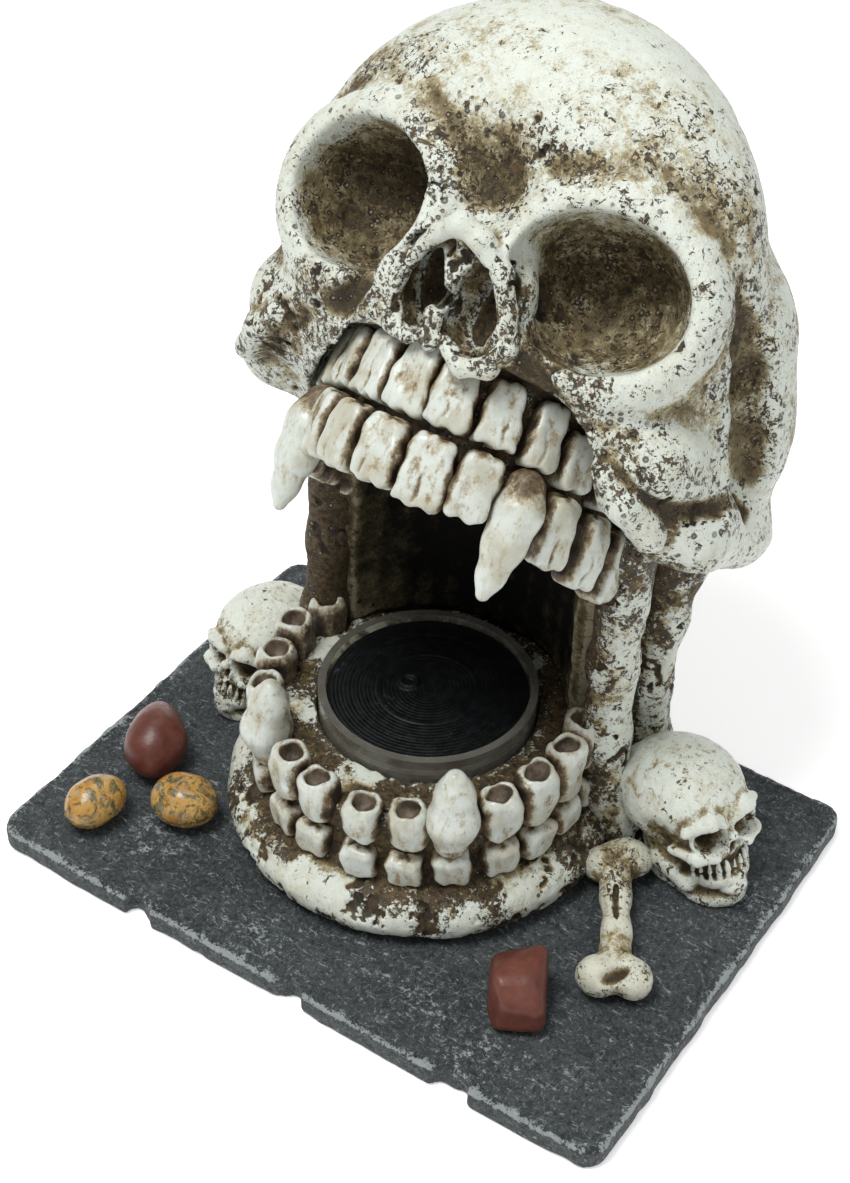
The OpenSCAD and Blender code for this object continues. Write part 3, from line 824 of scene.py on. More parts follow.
def sculpt_head(f):
    f.add(ell((-1.5, -66, 160.5), (65.5, 36, 59.5)))
    f.add(ell((-7, -54, 166), (62, 40, 59.5)), 6)
    f.add(ell((2.2, -38, 133), (74, 43, 52)), 10)
    f.add(ell((7, -47, 156), (64, 36, 38)), 6)
    f.add(ell((0, -60, 138), (60, 33, 44)), 8)
    f.add(ell((0, -56, 128), (40, 33, 15)), 8)
    f.cut(ell((0, -117, 171), (15, 24, 17)), 14)
    for s, (ex, ev) in zip((1, -1), EYES):
        f.add(ell((34 * s, -82, ev + 1), (27, 11.5, 23.5)), 6)
        # cheekbone
        up = 6.5 * (s < 0)
        f.add(chain([(36 * s, -80, 131 + up * 0.4, 8), (52 * s, -72, 118 + up, 10.5), (62 * s, -52, 109 + up, 12), (66 * s, -26, 112 + up, 11)], 8), 7)
        f.add(ell((56 * s, -67, 124 + up * 0.6), (11, 13, 9)), 6)
        # shallow hollow above the brow
        f.cut(chain([(9 * s, -101, 178, 2), (24 * s, -100, ev + 27, 3.0), (42 * s, -95, ev + 30, 3.0), (58 * s, -83, ev + 22, 2)], 3), 6)
        # temple, behind the eye
        f.cut(chain([(62.5 * s, -76, 170, 2.2), (65.5 * s, -65, 158, 4.6), (68 * s, -57, 148, 6), (71 * s, -51, 135, 6), (72.5 * s, -46.5, 126, 5), (73 * s, -43, 119, 3)], 4), 3)
        # raised rim round the eye
        f.add(ring((ex, -87.3, ev), 25.4 - 0.6 * (s < 0), 21.8, 4.5, rot(0, 0, 14 * s), 6.0), 6.5)
        f.cut(ell((ex, -92, ev), (22.2, 27.5, 18.6), rot(0, 0, 14 * s)), 2)
        # groove from the nose, under the eye and round the cheek to the temple
        f.cut(chain([(21 * s, -98, 147, 2.2), (22.5 * s, -97.5, 139, 2.6), (27.5 * s, -94.5, 131, 3.0), (36 * s, -91.5, 124, 3.2), (47 * s, -87, 119.5, 2.8)], 2), 3)
        if s > 0:
            f.cut(chain([(47, -88, 120, 1.3), (57, -83.3, 114, 1.7), (65.8, -71, 112, 2.2), (71.5, -58, 117.5, 2.0), (73.5, -47, 125.5, 2.0)], 2), 3.0)
        # lower edge of the cheekbone
        f.add(chain([(50 * s, -83.5, 115.5 + up, 2.6), (56 * s, -80, 110 + up, 3.8), (62 * s, -71, 105 + up, 4.6)], 3), 3)
    # mound and rim of the nose
    f.add(ell((1.5, -87, 145), (17.5, 9.5, 19)), 6)
    for s, x0 in ((1, 9.4), (-1, 6.2)):
        f.cut(ell((x0 * s, -99, 142), (7.2 if s > 0 else 6.2, 15, 13.0), rot(0, 14 * s, 0)), 1.5)
    # the gums stand back from the two rows of teeth
    sl, X, Y, Z = f.all()
    q = arch_distance(X, Y)
    vt = gum_top(arch_angle(X, Y)).astype(F)
    ta = arch_angle(X, Y)
    wide = np.where(X > 0, 11.5 + 5.5 * step(ta, 40, 60), 7.5 + 2 * step(-ta, -20, 5)).astype(F)
    trough = smax(smax(-q + np.zeros(f.n, F), q - wide, 2.5), Z - vt + np.where(X < -8, F(1.5), F(0)), 2.5)
    f.D = smax(f.D, -trough, 2)
    f.add(chain([(1.5, -105.5, 159, 3.2), (7, -103, 157, 3.3), (13.5, -99.5, 151, 2.7), (17, -97, 143.5, 2.6), (20.0, -96.5, 135.5, 3.0),
                 (17.4, -97.5, 129.0, 3.1), (11.5, -98.5, 127.3, 2.6), (4.5, -98, 131.5, 2.1)], 1.5), 1.4)
    f.add(chain([(1.5, -105.5, 159, 3.3), (-4.5, -103, 155, 2.3), (-10.2, -99.5, 149, 1.9), (-13.3, -97, 142.5, 2.1), (-13.8, -95.8, 135.5, 2.1),
                 (-10.8, -96.5, 130.8, 2.3), (-5.5, -97.5, 129.8, 2.2), (0.5, -98, 132, 2.1)], 1.5), 1.4)
    f.add(chain([(1.5, -102, 157, 2.2), (1.8, -98.5, 150, 1.2), (1.0, -97.5, 143, 1.3), (-0.8, -97.5, 136.5, 2.6), (0.8, -97.5, 130, 2.4)], 1.5), 1.2)
    # palate
    f.cut(ell((0, -34, 96), (31, 40, 13)), 3)
    f.keep(lambda X, Y, Z: 98 - Z + 0 * X, 5)
    # the back stays within the cast's depth
    f.keep(lambda X, Y, Z: Y * F(CT) + Z * F(ST) - F(97.6) + 0 * X, 6)
    # hand-sculpted unevenness and porous patches
    near = np.abs(f.D) < 4 * f.h + 3
    ii = np.nonzero(near)
    P = np.stack([f.ax[k][ii[k]] for k in range(3)], 1)
    d = 0.3 - 0.75 * fbm(P, 17, 3, 5) - 0.32 * fbm(P, 4.5, 2, 9)
    d += 0.9 * head_chips(P)
    f.D[near] += d.astype(F)


def head_chips(P):
    t = head_tone(P)
    w = 0.62 - 0.34 * np.clip(t, 0, 1)
    n = fbm(P + 1.2 * np.stack([noise(P, 2.4, 90 + k) for k in range(3)], 1), 5.2, 3, 21, 0.6)
    return step(n - w, 0.0, 0.10)


def nose_region(X, Y, Z):
    return ell((1.5, -101, 142), (24.5, 15, 24))[2](X, Y, Z)


def jaw_region(X, Y, Z):
    q = np.sqrt((X / F(43.5)) ** 2 + ((Y + F(40)) / F(58)) ** 2)
    return np.maximum((q - 1) * F(40), Z - F(127))


def cheek_region(X, Y, Z):
    c = [chain([(38 * s, -82, 129.5, 8), (53 * s, -74, 117, 13), (63 * s, -53, 108, 14.5), (67 * s, -24, 111, 13.5)], 6)[2](X, Y, Z) for s in (-1, 1)]
    return np.minimum(c[0], c[1])


def head_tone(P):
    x, y, z = P.T
    t = 0.26 * blob(P, (34.8, -72, 156), (23, 17, 19)) + 0.34 * blob(P, (-33.7, -73, 161), (25, 18, 20))
    t += 0.30 * both(P, (60, -76, 116), (18, 16, 13)) + 0.25 * both(P, (40, -86, 132), (16, 10, 6)) - 0.12 * blob(P, (6, -88, 205), (26, 30, 14))
    # upper back of each eye socket, under the brow, darker: painted shade
    t += 0.35 * both(P, (33.9, -74, 168), (17, 14, 8))
    for c, r, k in (((-4, -93, 174), (15, 12, 11), 0.75), ((16, -97, 181), (13, 12, 6), 0.6), ((32, -92, 190), (12, 10, 6), 0.45),
                    ((-20, -97, 178), (9, 12, 8), 0.5), ((-40, -86, 192), (16, 14, 9), 0.45), ((-52, -81, 184), (8, 10, 10), 0.5),
                    ((58, -75, 185), (10, 14, 16), 0.50), ((0, -95, 188), (16, 12, 8), 0.25), ((20, -90, 202), (16, 14, 7), 0.20), ((-30, -84, 206), (16, 14, 9), 0.30),
                    ((47, -86, 187), (9, 9, 7), 0.5), ((-56, -77, 140), (8, 12, 14), 0.4), ((60, -76, 138), (6, 8, 6), 0.3)):
        t += k * blob(P, c, r)
    for ex, ev in EYES:
        re = np.sqrt(((x - ex) / 25) ** 2 + ((z - ev) / 21.5) ** 2)
        t += 0.15 * step(-np.abs(re - 1.02), -0.26, -0.06) * step(-y, 62, 78)
        t += (0.40 if ex < 0 else 0.28) * step(-np.sqrt(((x - ex) / 22.2) ** 2 + ((z - ev) / 18.8) ** 2), -1.0, -0.84) * step(y, -98, -90) * step(-y, 50, 60)
    t += 0.12 * step(-np.sqrt(((x - 2) / 20) ** 2 + ((z - 143) / 19) ** 2), -1.1, -0.8) * step(-y, 88, 96)
    rim_y = -98.0 - 0.25 * (z - 130)
    t += 1.15 * step(-(((x - 1.5) / 16.5) ** 2 + ((z - 143.5) / 15.5) ** 2), -1.15, -0.85) * step(y - rim_y, 0.0, 2.2) * step(-y, 60, 75)
    t += 1.10 * both(P, (23, -95, 140), (7, 9, 14)) + 1.05 * both(P, (33, -90, 127), (14, 10, 8)) + 0.6 * both(P, (45, -84, 119), (10, 9, 8))
    t += 0.45 * blob(P, (-18, -95, 168), (9, 10, 10)) + 0.35 * blob(P, (6, -97, 167), (9, 8, 8)) - 0.25 * blob(P, (52, -76, 104), (12, 12, 6))
    t += 0.75 * both(P, (67, -60, 150), (6, 10, 17)) + 0.75 * both(P, (72, -49, 131), (6, 9, 14)) + 0.5 * both(P, (64, -71, 165), (6, 9, 12))
    t += 0.30 * step(y, -55, -30) + 0.25 * both(P, (66, -60, 100), (14, 20, 8))
    t += 0.45 * both(P, (54, -83, 116), (12, 8, 7)) + 0.45 * both(P, (66, -68, 112), (8, 9, 8)) + 0.4 * both(P, (72, -55, 118), (6, 8, 8))
    t += 0.35 * both(P, (30, -93, 133), (12, 7, 5))
    q = arch_distance(x, y)
    v = gum_top(arch_angle(x, y))
    t += 0.62 * step(-np.abs(z - v - 4), -9, -2) * step(-np.abs(q - 6), -15, -6) * step(-y, 20, 45)
    t += 0.30 * step(-np.abs(q - 14), -12, -6) * step(-z, -122, -112) * step(-y, 20, 45)
    t += 1.05 * step(-np.abs(q - 1), -7.5, -4.5) * step(-(z - v), -3.5, 0.5) * step(-y, 12, 30)
    t += 0.8 * step(-z, -104, -99) * step(y, -84, -66)
    t += 0.7 * step(-q, -1, 3) * step(-z, -126, -118)
    return t


def head_piece(name, lo, hi, h, cut, mat, nodes, count, seed, outer=None):
    f = Field(lo, hi, h * COARSE)
    sculpt_head(f)
    cut(f)
    p = carve(f, (1.3, 4.0), 300)
    rng = np.random.default_rng(seed)
    N = mesh_normals(p.V, p.Q)
    t = head_tone(p.V)
    w = 0.05 + t * 1.2 + 0.9 * step(fbm(p.V, 22, 2, 31), 0.1, 0.6)
    c = scatter(p.V, N, count, rng, w)
    pits(p, c, rng.uniform(0.45, 0.8, count) * rng.choice([1.0, 1.3, 1.8], count, p=[0.6, 0.3, 0.1]), 0.62, 0.12)
    p.att["pit"] = np.maximum(0.35 * p.att["pit"], 0.9 * head_chips(p.V)).astype(F)
    p.att["tone"] = t.astype(F)
    return build(name, p, mat, to_world=head_to_world, nodes=nodes)


def cut_cranium(f):
    seam(f, nose_region, False)
    seam(f, jaw_region, False)
    seam(f, cheek_region, False)


def cut_cheeks(f):
    seam(f, cheek_region, True)
    seam(f, jaw_region, False)


def cut_nose(f):
    seam(f, nose_region, True)


def cut_jaw(f):
    seam(f, jaw_region, True)
    seam(f, nose_region, False)


head_piece("skull_cranium", (-80, -112, 92), (80, 10, 226), 0.96, cut_cranium, BONE, ("cranium",), 160, 1)
head_piece("skull_cheekbones", (-84, -102, 92), (84, -6, 145), 0.75, cut_cheeks, BONE, ("cheekbones",), 60, 2)
head_piece("skull_nose_rim", (-25, -116, 115), (29, -82, 169), 0.5, cut_nose, BONE, ("nose_rim",), 30, 3)
head_piece("skull_upper_jaw", (-48, -102, 92), (48, -8, 130), 0.7, cut_jaw, BONE_DIRTY_AND_SHADED, ("upper_jaw",), 40, 4)


# ------------------------------------------------------------------ teeth
def tooth(w0, w1, d0, d1, H, rng, r=2.4, bulge=1.2, hollow=0.0, notch=0.8, crack=False, gum="top", h=0.45):
    """A cast tooth from z=0 to z=H: x along the arch, -y outwards."""
    m = max(w0, w1, d0, d1) / 2 + bulge / 2 + 2.0
    f = Field((-m, -m, -1.8), (m, m, H + 2.0), h * COARSE)
    sl, X, Y, Z = f.all()
    ph = rng.uniform(0, 6.28, 10)
    t = np.clip(Z / H, -0.1, 1.1)
    s = np.sin(np.pi * np.clip(t, 0, 1))
    x = X + 0.40 * np.sin(Z * 0.33 + ph[0]) + 0.22 * np.sin(Z * 0.9 + Y * 0.5 + ph[1])
    y = Y + 0.28 * np.sin(X * 0.55 + ph[2] + Z * 0.3)
    hx = (w0 + (w1 - w0) * t + bulge * s) / 2
    hy = (d0 + (d1 - d0) * t + bulge * s) / 2
    qx, qy = np.abs(x) - hx + r, np.abs(y) - hy + r
    side = np.sqrt(np.maximum(qx, 0) ** 2 + np.maximum(qy, 0) ** 2) + np.minimum(np.maximum(qx, qy), 0) - r
    low = notch * (0.5 + 0.5 * np.sin(x * 1.15 + ph[3])) - Z
    ang = np.arctan2(y, x)
    top = Z - (H - 0.45 * notch * (1 + np.sin(2 * ang + ph[4]) * 0.7 + 0.5 * np.sin(5 * ang + ph[5])))
    D = smax(side, np.maximum(low, top) + np.zeros(f.n, F), r * 0.9)
    if hollow:
        cx, cy = (w1 + bulge * 0.3) / 2 - 2.3, (d1 + bulge * 0.3) / 2 - 2.1
        cav = ell((0.3 * np.sin(ph[6]), 0.3 * np.cos(ph[6]), H + 0.2), (cx, cy, hollow))[2](x + 0.25 * np.sin(3 * ang + ph[6]), y, Z + np.zeros(f.n, F))
        D = smax(D, -cav, 1.3)
    if crack:
        c = rng.uniform(-0.18, 0.18) * w0
        rad = 0.55 * np.clip(1 - t / 0.6, 0, 1)
        g = np.sqrt((x - c - 0.35 * np.sin(Z * 0.7 + ph[7])) ** 2 + ((y + hy) * 0.75) ** 2) - rad
        D = np.maximum(D, -g)
    f.D = D.astype(F)
    near = np.abs(f.D) < 1.5
    ii = np.nonzero(near)
    P = np.stack([f.ax[k][ii[k]] for k in range(3)], 1)
    f.D[near] += (0.16 - 0.16 * fbm(P * np.array([1, 1, 0.4]), 1.9, 2, int(rng.integers(1e6))) + 0.2 - 0.2 * fbm(P, 5, 1, int(rng.integers(1e6)))).astype(F)
    p = carve(f, (0.8, 1.8), 60)
    vx, vy, vz = p.V.T
    vt = np.clip(vz / H, 0, 1)
    vhx = (w0 + (w1 - w0) * vt) / 2
    vhy = (d0 + (d1 - d0) * vt) / 2
    tone = 0.75 * step(np.abs(vx), vhx - 1.5, vhx + 0.4) + 0.6 * step(vy, -vhy + 2.6, vhy)
    if gum == "top":
        tone += 0.55 * step(vt, 0.78, 1.05) + 0.15 * step(-vt, -0.12, 0.0)
    elif gum == "bottom":
        tone += 0.55 * step(-vt, -0.25, 0.02)
    else:
        tone += 0.35 * step(-vt, -0.2, 0.02) + 0.45 * step(vt, 0.8, 1.02)
    p.att["pit"] = np.zeros(len(p.V), F)
    if hollow:
        rad = np.hypot(vx / (w1 / 2 - 1.2), vy / (d1 / 2 - 1.0))
        inner = (rad < 1.0) & (vz > H - hollow - 0.8)
        p.att["pit"] = np.where(inner, step(-vz, -(H - 0.9), -(H - 2.6)) * step(-rad, -0.95, -0.75), 0).astype(F)
        tone = np.where(inner, 0.45, tone)
    p.att["tone"] = tone.astype(F)
    return p


def place(p, c, rz=0.0, rx=0.0, ry=0.0):
    p.V = p.V @ rot(rx, ry, rz).T + np.asarray(c, float)
    return p


def arch(t, k):
    a = math.radians(t)
    return k * math.sin(a), -40 - 1.25 * k * math.cos(a), math.degrees(math.atan2(1.25 * math.sin(a), math.cos(a)))


def drop(t):
    return max(0.0, abs(t) - 35) * 0.16


rng = np.random.default_rng(11)
row = []
for t, w in ((-101, 8), (-88, 8.8), (-73.5, 9.4), (-59, 9.6), (-46, 9.2), (-33, 9.4), (-18.5, 10.8), (-2, 11.6), (13.5, 11.6), (28.5, 10.6),
             (44, 9.6), (58, 9.8), (73.5, 9.4), (88.5, 8.8), (101, 8)):
    x, y, a = arch(t + rng.uniform(-0.8, 0.8), 42.4)
    lo, hi = 110.8 - drop(t), float(gum_top(abs(t))) - 0.3 + rng.uniform(-0.8, 0.8)
    row.append(place(tooth(w * 1.13, w * 0.80, 8.8, 6.8, hi - lo, rng, r=2.1, bulge=0.7, notch=0.8, crack=rng.random() < 0.4), (x, y, lo), a, -5))
build("teeth_upper_top_row", Piece.join(row), TOOTH, to_world=head_to_world, nodes=("upper_teeth_top_row",))

row = []
for t, w in ((-101, 8), (-88, 8.8), (-73, 9.6), (-59, 9.8), (-34, 9.8), (-19.5, 10.8), (-3.2, 11.8), (13.8, 12.2), (28.6, 11.2),
             (58.4, 10), (73, 9.6), (88, 8.8), (101, 8)):
    x, y, a = arch(t + rng.uniform(-0.5, 0.5), 43.2)
    lo, hi = 91.6 + rng.uniform(-1, 1) - 1.15 * drop(t), 110.4 - drop(t)
    row.append(place(tooth(w * 1.05, w * 0.92, 9.4, 7.8, hi - lo, rng, r=2.6, bulge=1.4, notch=0.9, crack=rng.random() < 0.55, gum="top"), (x, y, lo), a))
build("teeth_upper_bottom_row", Piece.join(row), TOOTH, to_world=head_to_world, nodes=("upper_teeth_bottom_row",))


def fang(pts, flat, tone_at, seed, h=0.45):
    pr = chain(pts, 3.0)
    c, r, _ = pr
    f = Field(np.array(c) - r - 2, np.array(c) + r + 2, h * COARSE)
    f.add(pr)
    near = np.abs(f.D) < 1.5
    ii = np.nonzero(near)
    P = np.stack([f.ax[k][ii[k]] for k in range(3)], 1)
    f.D[near] += (0.08 - 0.08 * fbm(P * np.array([1, 1, 0.35]), 2.2, 2, seed) + 0.12 - 0.12 * fbm(P, 7, 1, seed + 1)).astype(F)
    p = carve(f, (0.9, 2.2), 60)
    p.att["tone"] = tone_at(p.V).astype(F)
    return p


up = [fang([(30.4 * s, -79.5, 105, 5.2), (31.2 * s, -80.6, 99, 6.3), (31.4 * s, -81.6, 90.5, 5.4), (31.2 * s, -81.8, 82, 3.5), (31.0 * s, -81.8, 77.2, 2.1)], None,
           lambda V: 0.75 * step(V[:, 2], 99, 109) + 0.5 * step(V[:, 1], -80, -73), 40 + s) for s in (-1, 1)]
build("teeth_upper_fangs", Piece.join(up), TOOTH, to_world=head_to_world, nodes=("upper_fangs",))

# ---- lower teeth, on the ring about (0, 7)
rng = np.random.default_rng(23)
crowns = ((-112, 45.4, 11.6), (-97, 43.9, 11.4), (-79, 42.6, 11.2), (-63, 43.2, 11.4), (-30, 45, 11.8), (-15.5, 48, 12), (-0.5, 49.2, 11.6), (16, 47, 10.8),
          (-149, 45, 11.8), (-164.5, 47.6, 12), (180.5, 48.8, 11.6), (164, 46.8, 10.8))
row = []
for a, top, w in crowns:
    th = math.radians(a + rng.uniform(-0.6, 0.6))
    c = (44.6 * math.cos(th), 7 + 44.6 * math.sin(th), 26.3)
    row.append(place(tooth(w * 0.80, w * 0.92, 8.0, 9.8, top - 26.3, rng, r=4.3, bulge=2.0, hollow=5.4, notch=0.55, gum="bottom"), c, a + 90 + rng.uniform(-4, 4), rng.uniform(-3, 3)))
build("teeth_lower_crowns", Piece.join(row), TOOTH, to_world=low_to_world, nodes=("lower_crowns",))

row = []
for a, top, w in crowns + ((-47.5, 0, 12), (-132.5, 0, 12)):
    th = math.radians(a)
    c = (45.2 * math.cos(th), 7 + 45.2 * math.sin(th), 14.2 + rng.uniform(-0.7, 0.7))
    row.append(place(tooth(w * 0.80, w * 0.94, 8.0, 9.6, 12.2, rng, r=2.6, bulge=0.8, notch=0.9, gum="ends"), c, a + 90 + rng.uniform(-4, 4)))
build("teeth_lower_roots", Piece.join(row), TOOTH, to_world=low_to_world, nodes=("lower_roots",))

lf = [fang([(30.2 * s, -26.2, 29.5, 5.0), (30.8 * s, -26.6, 38, 6.9), (30.4 * s, -25.6, 47, 5.2), (30.1 * s, -25.0, 52, 2.9)], None,
           lambda V: 0.6 * step(-V[:, 2], -33, -26) + 0.35 * step(np.hypot(V[:, 0], V[:, 1] - 7) * -1, -42, -38), 60 + s) for s in (-1, 1)]
build("teeth_lower_fangs", Piece.join(lf), TOOTH, to_world=low_to_world, nodes=("lower_fangs",))


# ------------------------------------------------------------------ lower jaw, throat, struts
def rough_field(f, amp, size, octaves, seed, band=None):
    """pushes the surface inwards by fractal noise"""
    near = np.abs(f.D) < (band or 4 * f.h + 2 * amp)
    ii = np.nonzero(near)
    P = np.stack([f.ax[k][ii[k]] for k in range(3)], 1)
    f.D[near] += (amp - amp * fbm(P, size, octaves, seed)).astype(F)


f = Field((-60, -54, -2), (60, 66, 40), 0.8 * COARSE)
sl, X, Y, Z = f.all()
q = np.sqrt(X ** 2 + (Y - 6) ** 2)
core = np.maximum(q - F(44.8), np.abs(Z - F(18.2)) - F(18.2)) + np.zeros(f.n, F)
a_, b_ = 12.6, 9.6
e0 = np.sqrt(((q - 44.8) / a_) ** 2 + ((Z - 6.4) / b_) ** 2)
e1 = np.sqrt(((q - 44.8) / a_ ** 2) ** 2 + ((Z - 6.4) / b_ ** 2) ** 2) + 1e-6
flange = e0 * (e0 - 1) / e1
f.D = smin(core, flange.astype(F), 4.0)
rough_field(f, 0.9, 13, 3, 71)
rough_field(f, 0.3, 3.2, 2, 72)


def jaw_chips(P):
    qq = np.hypot(P[:, 0], P[:, 1] - 6)
    n = fbm(P + 1.6 * np.stack([noise(P, 2.4, 190 + k) for k in range(3)], 1), 4.8, 4, 73, 0.66)
    wet = 0.26 - 0.14 * step(fbm(P, 19, 2, 74), -0.2, 0.3) - 0.06 * step(-P[:, 2], -5, -1)
    return step(n - wet, 0.0, 0.09) * step(qq, 44.5, 46.5) * (P[:, 2] < 26)


near = np.abs(f.D) < 5
ii = np.nonzero(near)
f.D[near] += (1.1 * jaw_chips(np.stack([f.ax[k][ii[k]] for k in range(3)], 1))).astype(F)
f.keep(lambda X, Y, Z: 0.05 - Z + 0 * X, 0.8)
sl, X, Y, Z = f.all()
qc = np.sqrt((X + 1.5) ** 2 + (Y - 10) ** 2)
f.D = np.maximum(f.D, -np.maximum(qc - F(31.4), F(28) - Z))
f.D = np.maximum(f.D, -np.maximum(qc - F(17), F(3) - Z))
tun = np.maximum(np.sqrt((X + 1.5) ** 2 + (Z - 8) ** 2) - F(4.5), F(10) - Y)
f.D = np.maximum(f.D, -tun).astype(F)
p = carve(f, (1.3, 4.0), 300)
rng = np.random.default_rng(7)
V = p.V
qq = np.hypot(V[:, 0], V[:, 1] - 6)
outer = step(qq, 44, 46)
w = outer * (0.25 + 1.2 * step(fbm(V, 14, 2, 33), 0.0, 0.5)) * (V[:, 2] > 1.5) + 0.08 * (V[:, 2] > 34)
c = scatter(V, None, 260, rng, w)
pits(p, c[:90], rng.uniform(0.6, 1.0, 90), 0.6, 0.08)
p.att["pit"] = np.maximum(0.3 * p.att["pit"], 0.95 * jaw_chips(V)).astype(F)
tone = 0.85 * step(-qq, -47.5, -45.5) * step(V[:, 2], 12.5, 15) * step(-V[:, 2], -35.8, -35) + 0.35 * outer * step(V[:, 2], 12, 17) + 0.95 * step(-qq, -44.6, -43) * step(V[:, 2], 24, 28) * 0.35
tone += 0.6 * outer * step(fbm(V, 15, 2, 44), -0.05, 0.45) + 0.45 * outer * step(-V[:, 2], -6.5, -1.5) - 0.45 * outer * step(fbm(V, 12, 2, 45), 0.05, 0.4)
tone -= 0.30 * step(-qq, -44, -42) * (V[:, 2] > 33)
tone += 0.5 * (np.hypot(V[:, 0] + 1.5, V[:, 1] - 10) < 31.6) + 0.45 * outer * step(-V[:, 2], -3.0, -0.5)
tone += 0.55 * outer * step(V[:, 1] - V[:, 0] * -0.4, 8, 30)
p.att["tone"] = tone.astype(F)
build("jaw_and_mouth_floor", p, BONE_DIRTY_AND_SHADED, to_world=low_to_world, nodes=("lower_jaw",))

# throat: a wall open to the front, grooved upright, under the head
f = Field((-53, 20, 13), (53, 62, 122), 0.85 * COARSE)
sl, X, Y, Z = f.all()
a = np.arctan2(Y - 10, X)
rib = 0.5 * np.sin(a * 9 + 1.9 * np.sin(Z * 0.13)) + 0.25 * np.sin(a * 31 + 2 + Z * 0.08)
out = np.sqrt(X ** 2 + (Y - 10) ** 2) - (47 + 2 * (Z - 36) / 80) + 0.6 + 0.5 * np.sin(a * 17 + Z * 0.07)
inn = np.sqrt((X + 1.5) ** 2 + (Y - 10) ** 2) - 38.8 - rib * 0.9
# under the sloping bottom of the head, and a little way into it
topv = Y * F(-0.0) + 0
hv = (Y * ST + Z * CT)                       # height in the head's own frame
qj = np.sqrt(X ** 2 + (Y - 6) ** 2)
foot = np.minimum(F(35.0) - Z + 0 * qj, np.maximum(F(15.0) - Z, F(43.6) - qj))
f.D = np.maximum(np.maximum(out, -inn), np.maximum(25 - Y, np.maximum(foot, hv - 101.0))).astype(F)
rough_field(f, 0.8, 4.5, 3, 81)
p = carve(f, (1.3, 4.0), 300)
V = p.V
ri = np.hypot(V[:, 0] + 1.5, V[:, 1] - 10)
tone = 0.55 * step(-V[:, 1], -42, -26) + 0.25 * step(fbm(V, 15, 2, 5), 0, 0.5) + 0.30 * step(-V[:, 2], -60, -38) - 0.30 * step(V[:, 1], 40, 48) * step(-ri, -42, -40) + 0.9 * step(ri, 41.5, 43)
p.att["tone"] = tone.astype(F)
build("throat_lining", p, THROAT, to_world=low_to_world, nodes=("throat_wall",))


def strut_chips(P, seed):
    n = fbm(P + 1.3 * np.stack([noise(P, 2.6, 290 + k) for k in range(3)], 1), 6.0, 3, seed + 5, 0.62)
    return step(n - 0.30, 0.0, 0.09)


def strut(name, node, pts, k, seed, top, cuts=(), count=90, mat=None):
    pr = chain(pts, k)
    c, r, _ = pr
    f = Field(np.array(c) - r - 3, np.array(c) + r + 3, 0.6 * COARSE)
    f.add(pr)
    for cu in cuts:
        f.cut(cu, 2.0)
    rough_field(f, 0.7, 9, 3, seed)
    rough_field(f, 0.25, 2.8, 2, seed + 1)
    near = np.abs(f.D) < 4
    ii = np.nonzero(near)
    f.D[near] += (0.9 * strut_chips(np.stack([f.ax[k][ii[k]] for k in range(3)], 1), seed)).astype(F)
    f.keep(lambda X, Y, Z: np.maximum(F(0.05) - Z, Y * F(ST) + Z * F(CT) - F(top)) + 0 * X, 0.6)
    p = carve(f, (1.1, 3.2), 200)
    rng = np.random.default_rng(seed)
    cc = scatter(p.V, None, count, rng)
    pits(p, cc[:40], rng.uniform(0.5, 0.85, 40), 0.6, 0.1)
    V = p.V
    p.att["pit"] = np.maximum(0.3 * p.att["pit"], 0.95 * strut_chips(V, seed)).astype(F)
    # tone: more wash at the foot and in random patches; the top under the head and the inner faces, most on the front
    # left strut, are darker as painted shade
    p.att["tone"] = (0.12 + 0.45 * step(-V[:, 2], -12, 0) + 0.35 * step(V[:, 2], 78, 100) + 0.75 * step(-np.hypot(V[:, 0], V[:, 1] - 10), -48, -42)
                     + 0.3 * step(fbm(V, 16, 2, seed + 3), 0.0, 0.5) + (1.15 if name.startswith("strut_front_left") else 0.1) * step(V[:, 0] * (1 if name.endswith("left") else -1), -56, -50)
                     + 0.35 * step(fbm(V * np.array([1, 1, 0.5]), 8, 2, seed + 4), 0.0, 0.35) + (0.6 if name.startswith("pillar") else 0.0) * step(-V[:, 0] * (1 if pts[0][0] > 0 else -1), -52, -46)).astype(F)
    return build(name, p, mat or BONE_DIRTY_AND_SHADED, to_world=low_to_world, nodes=(node,))


for s, side in ((-1, "left"), (1, "right")):
    strut("strut_front_" + side, "front_strut_" + side,
          [(54.5 * s, 25, 3, 8.5), (50 * s, 25, 20, 8.0), (47.2 * s, 25, 38, 7.6), (46.6 * s, 27, 62, 7.4), (47 * s, 30, 100, 8.6)], 5, 90 + s, 101)
    strut("pillar_rear_" + side, "rear_pillar_" + side,
          [(55 * s, 47, 4, 9.5), (50.5 * s, 46, 22, 7.4), (49 * s, 46, 42, 6.8), (50 * s, 48, 66, 7.4), (51.5 * s, 49.5, 86, 9.0), (51 * s, 49.5, 99, 9.0)], 5, 96 + s, 109,
          count=110)


# ------------------------------------------------------------------ slab
NOTCH = ((-48.5, 4.6), (4, 5.2), (56, 6.2))
f = Field((-102, -75, -1.5), (102, 75, 10.5), 0.95 * COARSE)
sl, X, Y, Z = f.all()
qx, qy = np.abs(X) - F(93), np.abs(Y) - F(66)
plan = np.sqrt(np.maximum(qx, 0) ** 2 + np.maximum(qy, 0) ** 2) + np.minimum(np.maximum(qx, qy), 0) - F(7)
P2 = np.stack(np.broadcast_arrays(X, Y, 0 * X), -1).reshape(-1, 3)[:, :]
edge = fbm(P2, 9, 3, 91).reshape(plan.shape)
plan = plan + F(0.55) - F(0.55) * edge
for nx, nr in NOTCH:
    wob = 1 + 0.12 * np.sin(np.arctan2(Y + 73, X - nx) * 3 + nx)
    plan = np.maximum(plan, -(np.sqrt((X - nx) ** 2 + (Y + 73 + nr - 3.6) ** 2) - nr * wob))
P3 = P2.copy()
topn = fbm(P3, 26, 4, 92, 0.6).reshape(plan.shape)
